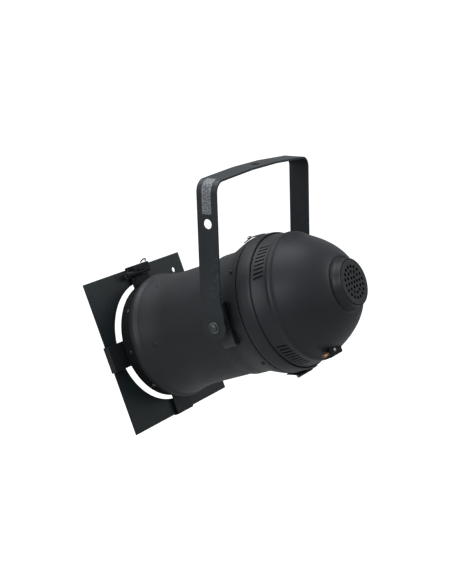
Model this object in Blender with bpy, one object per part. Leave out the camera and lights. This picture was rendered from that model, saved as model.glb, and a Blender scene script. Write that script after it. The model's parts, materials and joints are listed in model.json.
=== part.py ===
"""A stage par can light: a spun barrel and hinged rear cap round a 203 mm sealed-beam lamp, in a U yoke.

Units are metres, +Z is up and the light shines towards -Y. The origin is the centre of the hook-bolt hole,
on the top face of the yoke's bar. The can hangs between the yoke's arms and is tilted nose down. In the can's
own frame a place is given as (x, s, u): s runs along the can's axis towards the front, from the plane of the
pivot, and u runs up from that axis.
"""

import math

import bmesh
import bpy
from mathutils import Matrix, Vector
from mathutils.geometry import interpolate_bezier

MM = 0.001
GAP = 0.3 * MM                    # between pieces that touch

# Tilt and pivot
TILT = math.radians(21.2)         # the can's nose below level
PIVOT_DROP = 222.3 * MM           # from the bar's top face down to the pivot
AXIS_DROP = 3.5 * MM              # the can's axis below the pivot

# Yoke
YOKE_HALF = 130.0 * MM            # to an arm's outer face
STRAP_WIDTH = 34.0 * MM
STRAP_WALL = 3.0 * MM
YOKE_CORNER = 18.0 * MM
CROWN = 5.0 * MM                  # the bar's middle above its ends
SEAT_HALF = 34.0 * MM             # half the flat length in the bar's middle
JOGGLE = 8.0 * MM                 # the arms step inwards by this
JOGGLE_LOW, JOGGLE_HIGH = 20.0 * MM, 44.0 * MM   # above the pivot
LUG_RADIUS = 19.8 * MM
HOOK_HOLE = 6.5 * MM
SAFETY_HOLE = 7.3 * MM
SAFETY_RISE = 155.6 * MM          # the safety hole above the pivot, in the +X arm only
LABEL_FOOT = 170.0 * MM           # the sticker's lower edge above the pivot
LABEL_WIDTH = 16.0 * MM
PIVOT_HOLE = 4.4 * MM
BOLT_SHANK = 4.0 * MM
DISC_RADIUS = 11.0 * MM
BRACKET_PLATE = 106.0 * MM        # middle of the pivot bracket's plate, from the can's axis
BRACKET_REAR, BRACKET_FRONT = -14.5 * MM, 8.0 * MM
BRACKET_TOP, BRACKET_FOOT = 30.0 * MM, -35.0 * MM    # its ends, from the pivot
BRACKET_WALL = 2.0 * MM
BRACKET_PAD = 101.8 * MM          # outer face of the pad behind the plate, which follows the flare

# Can
ROUND = 36                        # sides of the large turned pieces
LAMP_ROUND = 28
PRONG_X = 8.0 * MM
SHEET = 1.2 * MM
TUBE = 92.7 * MM                  # outer radius of the front tube
SLEEVE = 95.6 * MM                # outer radius of the rear barrel's neck
RIM = 107.9 * MM                  # outer radius of the rear barrel's rim
LIP = 95.4 * MM                   # outer radius of the front ring
NECK_FRONT = 29.0 * MM            # where the rear barrel's neck ends on the tube
RIM_S = -40.6 * MM
RING_FRONT = 206.0 * MM
RIVET_S = 194.5 * MM

# Gel frame and its holders
FRAME_SIDE = 250.0 * MM
FRAME_REAR = 214.0 * MM
FRAME_WALL = 0.9 * MM
FRAME_SLOT = 0.8 * MM             # between its two leaves
APERTURE = 100.0 * MM
FRAME_HOLE = 4.5 * MM
FRAME_HOLE_IN = 26.0 * MM         # from both edges
CLIP_WIDTH = 42.0 * MM
WEB_S = 208.9 * MM                # middle of the clips' webs
LATCH_PIN = (204.6 * MM, 114.8 * MM)        # s, u

# Rear cap
CAP_PIN = (-41.4 * MM, -111.4 * MM)         # s, u
DOME_NECK = 103.4 * MM
BOSS_S = -176.0 * MM
LEAD_HOLE = (12.0 * MM, -112.5 * MM)        # x, s
SLOTS_PER_GROUP = 9
SLOT_STEP = math.radians(4.0)
SLOT_GROUP = math.radians(47.5)   # a slot group's middle above or below the side
SLOT_S = (-70.0 * MM, -85.5 * MM)
SLOT_WIDTH = 2.6 * MM
SLOT_LEAN = 0.2                   # how far a slot leans sideways for each millimetre along the cap

X_AXIS, Y_AXIS, Z_AXIS = Vector((1, 0, 0)), Vector((0, 1, 0)), Vector((0, 0, 1))

POWDER = ("powder_black", (0.035, 0.038, 0.042), 0.42, 0.3)
MATT = ("matt_black", (0.015, 0.015, 0.017), 0.6, 0.2)
ZINC = ("zinc_steel", (0.55, 0.56, 0.58), 0.32, 1.0)
MIRROR = ("lamp_mirror", (0.78, 0.78, 0.8), 0.12, 1.0)
GLASS = ("lamp_glass", (0.86, 0.9, 0.9), 0.08, 0.0)
CERAMIC = ("ceramic", (0.78, 0.75, 0.68), 0.55, 0.0)
COPPER = ("copper", (0.72, 0.36, 0.2), 0.35, 0.9)
SLEEVING = ("glass_sleeving", (0.7, 0.66, 0.55), 0.85, 0.0)
LABEL = ("label_grey", (0.42, 0.43, 0.44), 0.6, 0.0)


# ------------------------------------------------------------------ frame, materials and objects

def clear_scene():
    for obj in list(bpy.data.objects):
        bpy.data.objects.remove(obj, do_unlink=True)


def material(name, finish):
    """Each piece has its own material, from the finish it shares with its like."""
    _, colour, roughness, metallic = finish
    made = bpy.data.materials.new(name)
    made.use_nodes = True
    shader = made.node_tree.nodes["Principled BSDF"]
    shader.inputs["Base Color"].default_value = (*colour, 1.0)
    shader.inputs["Roughness"].default_value = roughness
    shader.inputs["Metallic"].default_value = metallic
    return made


def empty(name, parent=None, location=(0, 0, 0), tilt=0.0):
    obj = bpy.data.objects.new(name, None)
    bpy.context.collection.objects.link(obj)
    obj.parent = parent
    obj.location = location
    obj.rotation_euler = (tilt, 0, 0)
    return obj


def at(x, s, u):
    """A place in the can's frame."""
    return Vector((x, -s, u))


def piece(name, bm, finish, parent=None, cutter=False):
    """An object from a bmesh drawn in the can's frame, or in the world's when it has no parent."""
    bmesh.ops.remove_doubles(bm, verts=bm.verts, dist=1e-6)
    bmesh.ops.recalc_face_normals(bm, faces=bm.faces)
    mesh = bpy.data.meshes.new(name)
    bm.to_mesh(mesh)
    bm.free()
    obj = bpy.data.objects.new(name, mesh)
    bpy.context.collection.objects.link(obj)
    attach(obj, parent)
    if cutter:
        obj.hide_render = True
        obj.display_type = "WIRE"
        return obj
    mesh.materials.append(material(name, finish))
    mesh.shade_smooth()
    mesh.set_sharp_from_angle(angle=math.radians(35))
    return obj


def attach(obj, parent):
    """Joint empties stand on their axes, so what they carry steps back by their offset in the can's frame."""
    obj.parent = parent
    if parent is not None and parent.parent is CAN and parent is not CAN:
        obj.location = -parent.location


def boolean(obj, other, operation):
    change = obj.modifiers.new(operation.lower(), "BOOLEAN")
    change.operation = operation
    change.solver = "EXACT"
    change.object = other


# ------------------------------------------------------------------ shapes

def bezier(start, start_handle, end_handle, end, steps):
    """Points of a cubic curve in a plane, both ends included."""
    controls = [Vector((*p, 0)) for p in (start, start_handle, end_handle, end)]
    return [(p.x, p.y) for p in interpolate_bezier(*controls, steps + 1)]


def scaled(points):
    """An outline given in millimetres."""
    return [(a * MM, b * MM) for a, b in points]


def offset(path, distance):
    """A path moved sideways, to its right as it is walked."""
    moved = []
    for i, point in enumerate(path):
        here = Vector(point)
        before = here - Vector(path[i - 1]) if i else Vector(path[1]) - here
        after = Vector(path[i + 1]) - here if i + 1 < len(path) else before
        before, after = before.normalized(), after.normalized()
        normal = Vector((before.y + after.y, -before.x - after.x)).normalized()
        reach = distance / max(0.3, normal.dot(Vector((before.y, -before.x))))
        moved.append(tuple(here + normal * reach))
    return moved


def rounded(path, radius, steps=4):
    """An open path with its inner corners turned into arcs."""
    points = [path[0]]
    for before, corner, after in zip(path, path[1:], path[2:]):
        corner = Vector(corner)
        to_before = (Vector(before) - corner).normalized()
        to_after = (Vector(after) - corner).normalized()
        half = to_before.angle(to_after) / 2
        tangent = radius / math.tan(half)
        middle = corner + (to_before + to_after).normalized() * (radius / math.sin(half))
        first = corner + to_before * tangent - middle
        last = corner + to_after * tangent - middle
        sweep = first.angle_signed(last)
        points += [tuple(middle + Matrix.Rotation(-sweep * i / steps, 2) @ first) for i in range(steps + 1)]
    return points + [path[-1]]


def spun(outline, steps=ROUND, closed=True):
    """A turned piece about the can's axis, from an outline of (s, radius)."""
    bm = bmesh.new()
    verts = [bm.verts.new((0, -s, radius)) for s, radius in outline]
    ends = zip(verts, verts[1:] + verts[:1]) if closed else zip(verts, verts[1:])
    edges = [bm.edges.new(pair) for pair in ends]
    bmesh.ops.spin(bm, geom=verts + edges, cent=(0, 0, 0), axis=Y_AXIS, angle=2 * math.pi, steps=steps,
                   use_merge=True)
    return bm


def shell(outer, wall=SHEET, steps=ROUND):
    """A spun sheet: its outer line runs from the front to the back."""
    return spun(outer + offset(outer, -wall)[::-1], steps)


def prism(outline, low, high, place):
    """A closed outline of (a, b), pushed from low to high; place turns (a, b, c) into a point."""
    bm = bmesh.new()
    bottom = [bm.verts.new(place(a, b, low)) for a, b in outline]
    top = [bm.verts.new(place(a, b, high)) for a, b in outline]
    bm.faces.new(bottom[::-1])
    bm.faces.new(top)
    for i in range(len(outline)):
        j = (i + 1) % len(outline)
        bm.faces.new((bottom[i], bottom[j], top[j], top[i]))
    return bm


def strip(path, wall, low, high, place):
    """Bent sheet: path is the middle line of its section."""
    return prism(offset(path, wall / 2) + offset(path, -wall / 2)[::-1], low, high, place)


def ring_points(radius, steps, start=0.0):
    angles = [start + 2 * math.pi * i / steps for i in range(steps)]
    return [(radius * math.cos(a), radius * math.sin(a)) for a in angles]


def rod(centre, axis, radius, low, high, steps=16, start=0.0):
    """A cylinder or, with few steps, a bar or a nut along axis, from low to high along it."""
    turn = Z_AXIS.rotation_difference(axis).to_matrix()
    outline = ring_points(radius, steps, start)
    return prism(outline, low, high, lambda a, b, c: centre + turn @ Vector((a, b, c)))


def lathe(centre, axis, outline, steps=20, closed=True):
    """A turned piece anywhere: an outline of (height along axis, radius)."""
    bm = spun([(-h, r) for h, r in outline], steps, closed)
    turn = Y_AXIS.rotation_difference(axis).to_matrix().to_4x4()
    bm.transform(Matrix.Translation(centre) @ turn)
    return bm


def washer(centre, axis, inner, outer, low, high, steps=24):
    return lathe(centre, axis, [(low, inner), (low, outer), (high, outer), (high, inner)], steps)


def merged(parts):
    """Several bmeshes in one; they stay apart, as a cutter's may."""
    whole = bmesh.new()
    for part in parts:
        mesh = bpy.data.meshes.new("part")
        part.to_mesh(mesh)
        part.free()
        whole.from_mesh(mesh)
        bpy.data.meshes.remove(mesh)
    return whole


def drill(obj, holes, steps=20):
    """Round holes: (centre, axis, radius, half length) each."""
    rods = [rod(centre, axis, radius, -half, half, steps) for centre, axis, radius, half in holes]
    boolean(obj, piece(obj.name + "_drill", merged(rods), None, obj.parent, cutter=True), "DIFFERENCE")


def wire(name, points, radius, finish, parent, sides=2, cyclic=False):
    """A round wire or lead along points."""
    curve = bpy.data.curves.new(name, "CURVE")
    curve.dimensions = "3D"
    curve.bevel_depth = radius
    curve.bevel_resolution = sides
    curve.use_fill_caps = not cyclic
    line = curve.splines.new("POLY")
    line.points.add(len(points) - 1)
    for knot, point in zip(line.points, points):
        knot.co = (*point, 1)
    line.use_cyclic_u = cyclic
    curve.materials.append(material(name, finish))
    obj = bpy.data.objects.new(name, curve)
    bpy.context.collection.objects.link(obj)
    attach(obj, parent)
    return obj


def smooth_path(knots, per_span=6):
    """A smooth line through knots (Catmull-Rom)."""
    knots = [Vector(k) for k in knots]
    padded = [2 * knots[0] - knots[1], *knots, 2 * knots[-1] - knots[-2]]
    line = []
    for a, b, c, d in zip(padded, padded[1:], padded[2:], padded[3:]):
        line += interpolate_bezier(b, b + (c - a) / 6, c - (d - b) / 6, c, per_span + 1)[:-1]
    return line + [knots[-1]]


# ------------------------------------------------------------------ yoke

def yoke_bend():
    """The outer line of half the bar and its bend, as (x, z), from the seat's end to the top of the arm."""
    arm_top = (YOKE_HALF, JOGGLE_HIGH - PIVOT_DROP)
    return rounded([(SEAT_HALF, 0.0), (YOKE_HALF, -CROWN), arm_top], YOKE_CORNER, 8)[:-1]


def yoke():
    """One flat strap, bent to a U, with joggled round-ended arms."""
    arm = YOKE_HALF - JOGGLE
    bends = [(YOKE_HALF, PIVOT_DROP), (YOKE_HALF, JOGGLE_HIGH), (arm, JOGGLE_LOW), (arm, 0)]
    joggle = [(x, rise - PIVOT_DROP) for x, rise in rounded(bends, 14 * MM, 3)[1:-1]]
    lug_angles = [math.radians(a) for a in (33, 22, 11, 0, -15, -30, -45, -60, -72, -82)]
    lug = [(arm, LUG_RADIUS * math.sin(a) - PIVOT_DROP) for a in lug_angles]
    right = yoke_bend() + joggle + lug
    path = [(-x, z) for x, z in right[::-1]] + right
    inner = offset(path, STRAP_WALL)

    def half_width(z):
        rise = z + PIVOT_DROP
        if rise > math.sqrt(LUG_RADIUS**2 - (STRAP_WIDTH / 2) ** 2):
            return STRAP_WIDTH / 2
        return math.sqrt(LUG_RADIUS**2 - rise**2)

    bm = bmesh.new()
    rows = []
    for (x, z), (inner_x, inner_z) in zip(path, inner):
        width = half_width(z)
        corners = ((x, -width, z), (x, width, z), (inner_x, width, inner_z), (inner_x, -width, inner_z))
        rows.append([bm.verts.new(c) for c in corners])
    for row, following in zip(rows, rows[1:]):
        for i in range(4):
            j = (i + 1) % 4
            bm.faces.new((row[i], row[j], following[j], following[i]))
    bm.faces.new(rows[0])
    bm.faces.new(rows[-1][::-1])
    body = piece("yoke", bm, POWDER)
    holes = [(Vector((0, 0, 0)), Z_AXIS, HOOK_HOLE, 8 * MM),
             (Vector((YOKE_HALF, 0, SAFETY_RISE - PIVOT_DROP)), X_AXIS, SAFETY_HOLE, 10 * MM)]
    for side in (-1, 1):
        holes.append((Vector((side * (YOKE_HALF - JOGGLE), 0, -PIVOT_DROP)), X_AXIS, PIVOT_HOLE, 10 * MM))
    drill(body, holes, 24)


def rating_label():
    """A plain sticker on the outside of the +X arm, which runs up over the bend."""
    bend = yoke_bend()[2:]
    middle = offset(bend + [(YOKE_HALF, LABEL_FOOT - PIVOT_DROP)], -0.25 * MM)
    bm = strip(middle, 0.3 * MM, -LABEL_WIDTH / 2, LABEL_WIDTH / 2, lambda x, z, y: Vector((x, y, z)))
    piece("rating_label", bm, LABEL)


def pivots():
    """On each side: a friction disc inside the arm, a washer outside it, a dome-headed bolt and its nut."""
    arm = YOKE_HALF - JOGGLE
    centre = Vector((0, 0, -PIVOT_DROP))
    on_can = at(0, 0, AXIS_DROP)
    for side, word in ((1, "right"), (-1, "left")):
        out = X_AXIS * side
        inside = BRACKET_PLATE - BRACKET_WALL / 2
        low, high = inside + BRACKET_WALL + GAP, arm - STRAP_WALL - GAP
        piece(f"friction_disc_{word}", washer(centre, out, PIVOT_HOLE, DISC_RADIUS, low, high), MATT)
        low, high = arm + GAP, arm + 1.5 * MM
        piece(f"pivot_washer_{word}", washer(centre, out, PIVOT_HOLE, 8.6 * MM, low, high), ZINC)
        head, end = high + GAP, inside - 5.6 * MM
        dome = [(head + h * MM, r * MM) for h, r in ((0, 6.2), (2.2, 6.2), (3.5, 5.2), (3.9, 3.2), (4.0, 0))]
        bolt = [(end, 0), (end, BOLT_SHANK), (head, BOLT_SHANK), *dome]
        piece(f"pivot_bolt_{word}", lathe(on_can, out, bolt, 24, closed=False), ZINC, CAN)
        hexagon = rod(on_can, out, 7.5 * MM, end + 1.1 * MM, inside - GAP, 6)
        nut = piece(f"pivot_nut_{word}", hexagon, ZINC, CAN)
        drill(nut, [(on_can + out * inside, X_AXIS, BOLT_SHANK + GAP, 12 * MM)])


# ------------------------------------------------------------------ barrel

def rear_barrel_line():
    """The rear barrel's outer line, front to back: hemmed neck, then a flare out to the rim."""
    return [(NECK_FRONT, SLEEVE - 0.5 * MM), (NECK_FRONT - 1 * MM, SLEEVE)] + bezier(
        (6 * MM, SLEEVE), (-10 * MM, 97.0 * MM), (-26 * MM, 106.5 * MM), (RIM_S, RIM), 5)


def front_barrel():
    """The front tube: straight, then a flare to a rolled bead at the mouth."""
    bead = scaled([(185.5, 96.9), (183.8, 98.9), (180.8, 101.1), (176.5, 102.1)])
    flare = bezier((172 * MM, 101.8 * MM), (158 * MM, 98.5 * MM), (142 * MM, 93.5 * MM), (122 * MM, TUBE), 5)
    piece("front_barrel", shell(bead + flare + [(10 * MM, TUBE)]), POWDER, CAN)


def rear_barrel():
    outer = rear_barrel_line()
    inner = offset(outer, -SHEET)[::-1]
    neck = TUBE + GAP
    hem = [(8 * MM, SLEEVE - SHEET), (18 * MM, SLEEVE - SHEET), (19.5 * MM, neck), (NECK_FRONT, neck)]
    inner = [p for p in inner if p[0] < 5 * MM] + hem
    piece("rear_barrel", spun(outer + inner), POWDER, CAN)


def front_ring():
    """The dark lip inside the mouth, which carries the frame holders."""
    ring = piece("front_ring", spun([(172 * MM, LIP - 1.2 * MM), (172 * MM, LIP), (RING_FRONT, LIP),
                                     (RING_FRONT, LIP - 1.2 * MM)]), MATT, CAN)
    ways = (X_AXIS, -X_AXIS, Z_AXIS, -Z_AXIS)
    drill(ring, [(way * 94 * MM + at(0, RIVET_S, 0), way, 2.3 * MM, 6 * MM) for way in ways], 12)


def pivot_brackets():
    """A bent plate and a pad on each side, shaped to the flare, which stand the pivot off from the barrel."""
    clear = [(p[0], p[1] + GAP) for p in rear_barrel_line()]
    front, rear = 60 * MM, -60 * MM
    clear = [(front, 0.0), (front, SLEEVE + GAP)] + clear[2:] + [(rear, RIM + 2 * MM), (rear, 0.0)]
    for side, word in ((1, "right"), (-1, "left")):
        root, plate = 80 * MM, BRACKET_PLATE
        ends = [(root, BRACKET_FOOT), (plate, BRACKET_FOOT), (plate, BRACKET_TOP), (root, BRACKET_TOP)]
        path = rounded(ends, 5 * MM)
        path = [(side * x, u + AXIS_DROP) for x, u in path]
        bm = strip(path, BRACKET_WALL, BRACKET_REAR, BRACKET_FRONT, lambda x, u, s: at(x, s, u))
        obj = piece(f"pivot_bracket_{word}", bm, POWDER, CAN)
        low, high = BRACKET_FOOT + AXIS_DROP, BRACKET_TOP + AXIS_DROP
        outline = [(side * x, u) for x, u in ((root, low), (BRACKET_PAD, low), (BRACKET_PAD, high), (root, high))]
        pad = prism(outline, BRACKET_REAR + 1.5 * MM, BRACKET_FRONT - 1 * MM, lambda x, u, s: at(x, s, u))
        boolean(obj, piece(f"bracket_pad_{word}", pad, None, CAN, cutter=True), "UNION")
        cutter = piece(f"barrel_clearance_{word}", spun(clear, closed=False), None, CAN, cutter=True)
        boolean(obj, cutter, "DIFFERENCE")
        drill(obj, [(at(side * plate, 0, AXIS_DROP), X_AXIS, BOLT_SHANK + GAP, 6 * MM)])
        drill(obj, [(at(side * 98 * MM, 0, AXIS_DROP), X_AXIS, 8.5 * MM, 6.8 * MM)])


def barrel_screws():
    """Four dome-headed screws in the flare."""
    slope, up = math.radians(16.3), math.radians(42.5)
    head = [(0.35 * MM, 0), (0.35 * MM, 3.0 * MM), (1.1 * MM, 3.0 * MM), (1.8 * MM, 2.0 * MM), (2.1 * MM, 0)]
    for number, angle in enumerate((up, -up, math.pi - up, math.pi + up), 1):
        spoke = Vector((math.cos(angle), 0, math.sin(angle)))
        axis = spoke * math.cos(slope) + at(0, math.sin(slope), 0)
        foot = spoke * 105.6 * MM + at(0, -29.4 * MM, 0)
        piece(f"barrel_screw_{number}", lathe(foot, axis, head, 12, closed=False), ZINC, CAN)


# ------------------------------------------------------------------ gel frame, clips and latch

def gel_frame():
    """One sheet folded along its lower edge into two leaves, with a round window through both."""
    half = FRAME_SIDE / 2
    front = FRAME_REAR + 2 * FRAME_WALL + FRAME_SLOT
    slot = (FRAME_REAR + FRAME_WALL, front - FRAME_WALL)
    fold = 2 * FRAME_WALL - half
    section = [(FRAME_REAR, half), (slot[0], half), (slot[0], fold), (slot[1], fold), (slot[1], half),
               (front, half), (front, -half), (FRAME_REAR, -half)]
    obj = piece("gel_frame", prism(section, -half, half, lambda s, u, x: at(x, s, u)), POWDER, CAN)
    corner = half - FRAME_HOLE_IN
    drill(obj, [(at(0, FRAME_REAR, 0), Y_AXIS, APERTURE, 10 * MM),
                (at(-corner, FRAME_REAR, corner), Y_AXIS, FRAME_HOLE, 10 * MM)], ROUND)


def frame_clip(name, out, reach):
    """A bent-sheet channel: a tab inside the ring, a web behind the frame, an edge and a front lip."""
    across = Y_AXIS.cross(out)
    lip = 218.2 * MM
    corners = [(90.8 * MM, 188 * MM), (90.8 * MM, WEB_S), (reach, WEB_S), (reach, lip), (118 * MM, lip)]
    path = rounded(corners, 1.2 * MM, 2)
    half = CLIP_WIDTH / 2
    bm = strip(path, 1.2 * MM, -half, half, lambda o, s, t: out * o + across * t + at(0, s, 0))
    obj = piece(name, bm, POWDER, CAN)
    drill(obj, [(out * 91 * MM + at(0, RIVET_S, 0), out, 2.3 * MM, 4 * MM)], 12)
    ring_rivet(name.replace("clip", "rivet"), out)


def ring_rivet(name, out, tab=90.8 * MM):
    """Through the front ring and a holder's tab, its dome outside."""
    inside = tab - 0.6 * MM - GAP
    outside = LIP + GAP
    head = [(inside - 1.2 * MM, 0), (inside - 1.2 * MM, 3.4 * MM), (inside, 3.4 * MM), (inside, 1.9 * MM),
            (outside, 1.9 * MM), (outside, 3.6 * MM), (outside + 1.0 * MM, 3.2 * MM),
            (outside + 1.7 * MM, 1.8 * MM), (outside + 1.9 * MM, 0)]
    piece(name, lathe(at(0, RIVET_S, 0), out, head, 14, closed=False), ZINC, CAN)


def latch():
    """The top holder: a fixed bracket with the middle knuckle, and a sprung gate over the frame's edge."""
    pin_s, pin_u = LATCH_PIN
    pin = at(0, pin_s, pin_u)
    tab = 89.6 * MM
    path = [(tab, 188 * MM), (tab, WEB_S), (108.5 * MM, WEB_S), (pin_u - 1 * MM, pin_s + 2.6 * MM)]
    bm = strip(rounded(path, 1.2 * MM, 2), 1.2 * MM, -26 * MM, 20 * MM, lambda u, s, x: at(x, s, u))
    bracket = piece("latch_bracket", bm, POWDER, CAN)
    sides = ((-1, 8.3 * MM, 30 * MM), (1, 8.3 * MM, 30 * MM))
    cuts = merged([rod(pin, X_AXIS * sign, 6.0 * MM, low, high) for sign, low, high in sides])
    boolean(bracket, piece("latch_notch", cuts, None, CAN, cutter=True), "DIFFERENCE")
    knuckles(bracket, pin, CAN, ((1, -8 * MM, 8 * MM),), 1.9 * MM, 3.6 * MM)
    drill(bracket, [(at(0, RIVET_S, 91 * MM), Z_AXIS, 2.3 * MM, 4 * MM)], 12)
    ring_rivet("top_rivet", Z_AXIS, tab)
    pin_line = scaled([(-28, 0), (-28, 2.9), (-26.8, 2.9), (-26.8, 1.6), (36, 1.6), (36, 0)])
    piece("latch_pin", lathe(pin, X_AXIS, pin_line, 16, closed=False), ZINC, CAN)

    path = [(-3.0, 0.5), (-3.0, 12.8), (14.6, 12.8), (14.6, 9.8)]
    path = [(pin_s + s * MM, pin_u + u * MM) for s, u in path]
    bm = strip(rounded(path, 1.2 * MM, 2), 1.2 * MM, -26 * MM, 14.5 * MM, lambda s, u, x: at(x, s, u))
    gate = piece("latch_gate", bm, MATT, GATE)
    half = 8.6 * MM
    window = prism([(-half, -6 * MM), (half, -6 * MM), (half, 6.2 * MM), (-half, 6.2 * MM)], -8 * MM, 5 * MM,
                   lambda x, u, s: pin + at(x, s, u))
    boolean(gate, piece("gate_window", window, None, GATE, cutter=True), "DIFFERENCE")
    knuckles(gate, pin, GATE, ((-1, half, 26 * MM), (1, half, 14.5 * MM)), 1.9 * MM, 3.6 * MM)
    knots = [(-13, 1, 14.1), (-13, 0.8, 15.2), (-15, -1.5, 17.2), (-19.5, -2.5, 18.2), (-24, -1.5, 17.2),
             (-25, 0.8, 15.2), (-25, 1, 14.1)]
    loop = smooth_path([pin + at(x * MM, s * MM, u * MM) for x, s, u in knots], 3)
    wire("latch_pull", loop, 1.1 * MM, ZINC, GATE, 1)


def knuckles(leaf, pin, parent, ears, bore, outer):
    """Joins a hinge's knuckles to its leaf, then bores them: each ear is (direction, low, high) along X."""
    for number, (sign, low, high) in enumerate(ears, 1):
        ear = washer(pin, X_AXIS * sign, bore, outer, low, high, 20)
        boolean(leaf, piece(f"{leaf.name}_ear_{number}", ear, None, parent, cutter=True), "UNION")
    cut = rod(pin, X_AXIS, bore, -40 * MM, 40 * MM, 20)
    boolean(leaf, piece(leaf.name + "_bore", cut, None, parent, cutter=True), "DIFFERENCE")


def latch_spring():
    """A torsion spring round the pin's end: one leg down on the bracket, the other up behind the gate."""
    pin = at(0, *LATCH_PIN)
    turns, coil, start, per_turn = 8, 4.6 * MM, 16.2 * MM, 8
    pitch = 2.1 * MM / per_turn
    points = [pin + at(start - 1.5 * MM, 2.6 * MM, -13 * MM), pin + at(start - 0.5 * MM, -3.9 * MM, -5 * MM)]
    count = turns * per_turn
    for i in range(count + 1):
        angle = math.pi - 2 * math.pi * i / per_turn
        points.append(pin + at(start + i * pitch, coil * math.cos(angle), coil * math.sin(angle)))
    end = start + count * pitch
    leg = ((end, 7 * MM), (end - 3 * MM, 9.5 * MM), (9 * MM, 9.5 * MM))
    points += [pin + at(x, -coil - 0.2 * MM, u) for x, u in leg]
    wire("latch_spring", points, 0.6 * MM, ZINC, CAN, 0)


# ------------------------------------------------------------------ lamp

def lamp():
    """A sealed-beam lamp: domed front glass, silvered bowl, two prongs, and the burner inside."""
    flange = 101.0 * MM
    front = bezier((-9 * MM, 0.0), (-9.5 * MM, 42 * MM), (-16 * MM, 84 * MM), (-24.5 * MM, 98 * MM), 6)
    back = [(s - 3.0 * MM, r) for s, r in front[:-1]]
    lens = front + [(-25 * MM, flange), (-27.6 * MM, flange), (-27.6 * MM, 97 * MM)] + back[::-1]
    piece("lamp_lens", spun(lens, LAMP_ROUND, closed=False), GLASS, LAMP)
    bowl = bezier((-31 * MM, 98.5 * MM), (-58 * MM, 92 * MM), (-94 * MM, 70 * MM), (-108 * MM, 27 * MM), 7)
    outer = [(-27.9 * MM, flange), (-30.6 * MM, flange)] + bowl + [(-126 * MM, 25 * MM), (-127 * MM, 0.0)]
    inner = [(-27.9 * MM, 96.5 * MM)] + [(s + 1.5 * MM, r - 2.6 * MM) for s, r in bowl[:-1]]
    inner += [(-108 * MM, 22 * MM), (-123 * MM, 21 * MM), (-124 * MM, 0.0)]
    bowl_piece = piece("lamp_reflector", spun(outer[::-1] + inner, LAMP_ROUND, closed=False), MIRROR, LAMP)
    holes = []
    for word, x in (("left", -PRONG_X), ("right", PRONG_X)):
        foot = at(x, -126 * MM, 0)
        holes.append((foot, Y_AXIS, 2.9 * MM, 6 * MM))
        piece(f"lamp_prong_{word}", rod(foot, Y_AXIS, 2.5 * MM, -40 * MM, 14 * MM, 10), COPPER, LAMP)
    drill(bowl_piece, holes, 12)
    burner = scaled([(-66, 0), (-67, 4), (-70, 6), (-82, 6), (-85, 4), (-85.5, 0)])
    piece("lamp_burner", spun(burner, 16, closed=False), GLASS, LAMP)


def lamp_holder():
    """The ceramic connector pushed on the lamp's prongs."""
    half_x, half_u, low, high = 19 * MM, 12 * MM, -151 * MM, -127.6 * MM
    corners = [(half_x, -half_u), (half_x, half_u), (-half_x, half_u), (-half_x, -half_u)]
    outline = rounded([(0, -half_u), *corners, (0, -half_u)], 4 * MM, 3)[:-1]
    obj = piece("lamp_holder", prism(outline, low, high, lambda x, u, s: at(x, s, u)), CERAMIC, LAMP)
    drill(obj, [(at(x, high, 0), Y_AXIS, 2.9 * MM, 15 * MM) for x in (-PRONG_X, PRONG_X)], 12)


def lamp_ring():
    """A split ring of spring wire that holds the lamp's rim, its tails bent back to be gripped."""
    reach, place, gap, steps = 102.0 * MM, -33.5 * MM, math.radians(6), ROUND
    angles = [math.pi / 2 + gap + (2 * math.pi - 2 * gap) * i / steps for i in range(steps + 1)]
    loop = [at(reach * math.cos(a), place, reach * math.sin(a)) for a in angles]
    first, last = [at(99 * MM * math.cos(a), -38.5 * MM, 99 * MM * math.sin(a))
                   for a in (angles[0] - 0.04, angles[-1] + 0.04)]
    wire("lamp_spring_ring", [first, *loop, last], 2.0 * MM, ZINC, CAN, 1)


def lamp_lead():
    """The sleeved leads: off the connector's back, round in a slack loop and down to the entry in the cap."""
    knots = [(0, -151.4, 0), (0, -156, -1), (-3, -163, -9), (-9, -164, -22), (-16, -156, -36),
             (-20, -144, -44), (-16, -132, -42), (-4, -124, -42), (7, -118, -52), (12, -114, -68),
             (12, -112.6, -80), (12, -112.5, -86.5)]
    line = smooth_path([at(x * MM, s * MM, u * MM) for x, s, u in knots], 3)
    wire("lamp_lead", line, 3.0 * MM, SLEEVING, CAN, 1)


# ------------------------------------------------------------------ rear cap

def dome_line():
    """The cap's outer line from its front edge to the vent boss."""
    band = [(-38.4 * MM, DOME_NECK), (-66 * MM, DOME_NECK), (-69 * MM, 102.3 * MM), (-87.5 * MM, 98.9 * MM)]
    bead = scaled([(-90, 99.3), (-94.5, 99.2), (-98, 97.0)])
    dome = bezier(*scaled([(-99.5, 95.6), (-118, 86.0), (-147, 72), (-162, 47.2)]), 5)
    boss = scaled([(-162.2, 44.0), (-161.6, 40.6), (-164.2, 38.0), (-169, 36.8), (-176, 35.6)])
    return band + bead + dome + boss


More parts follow.
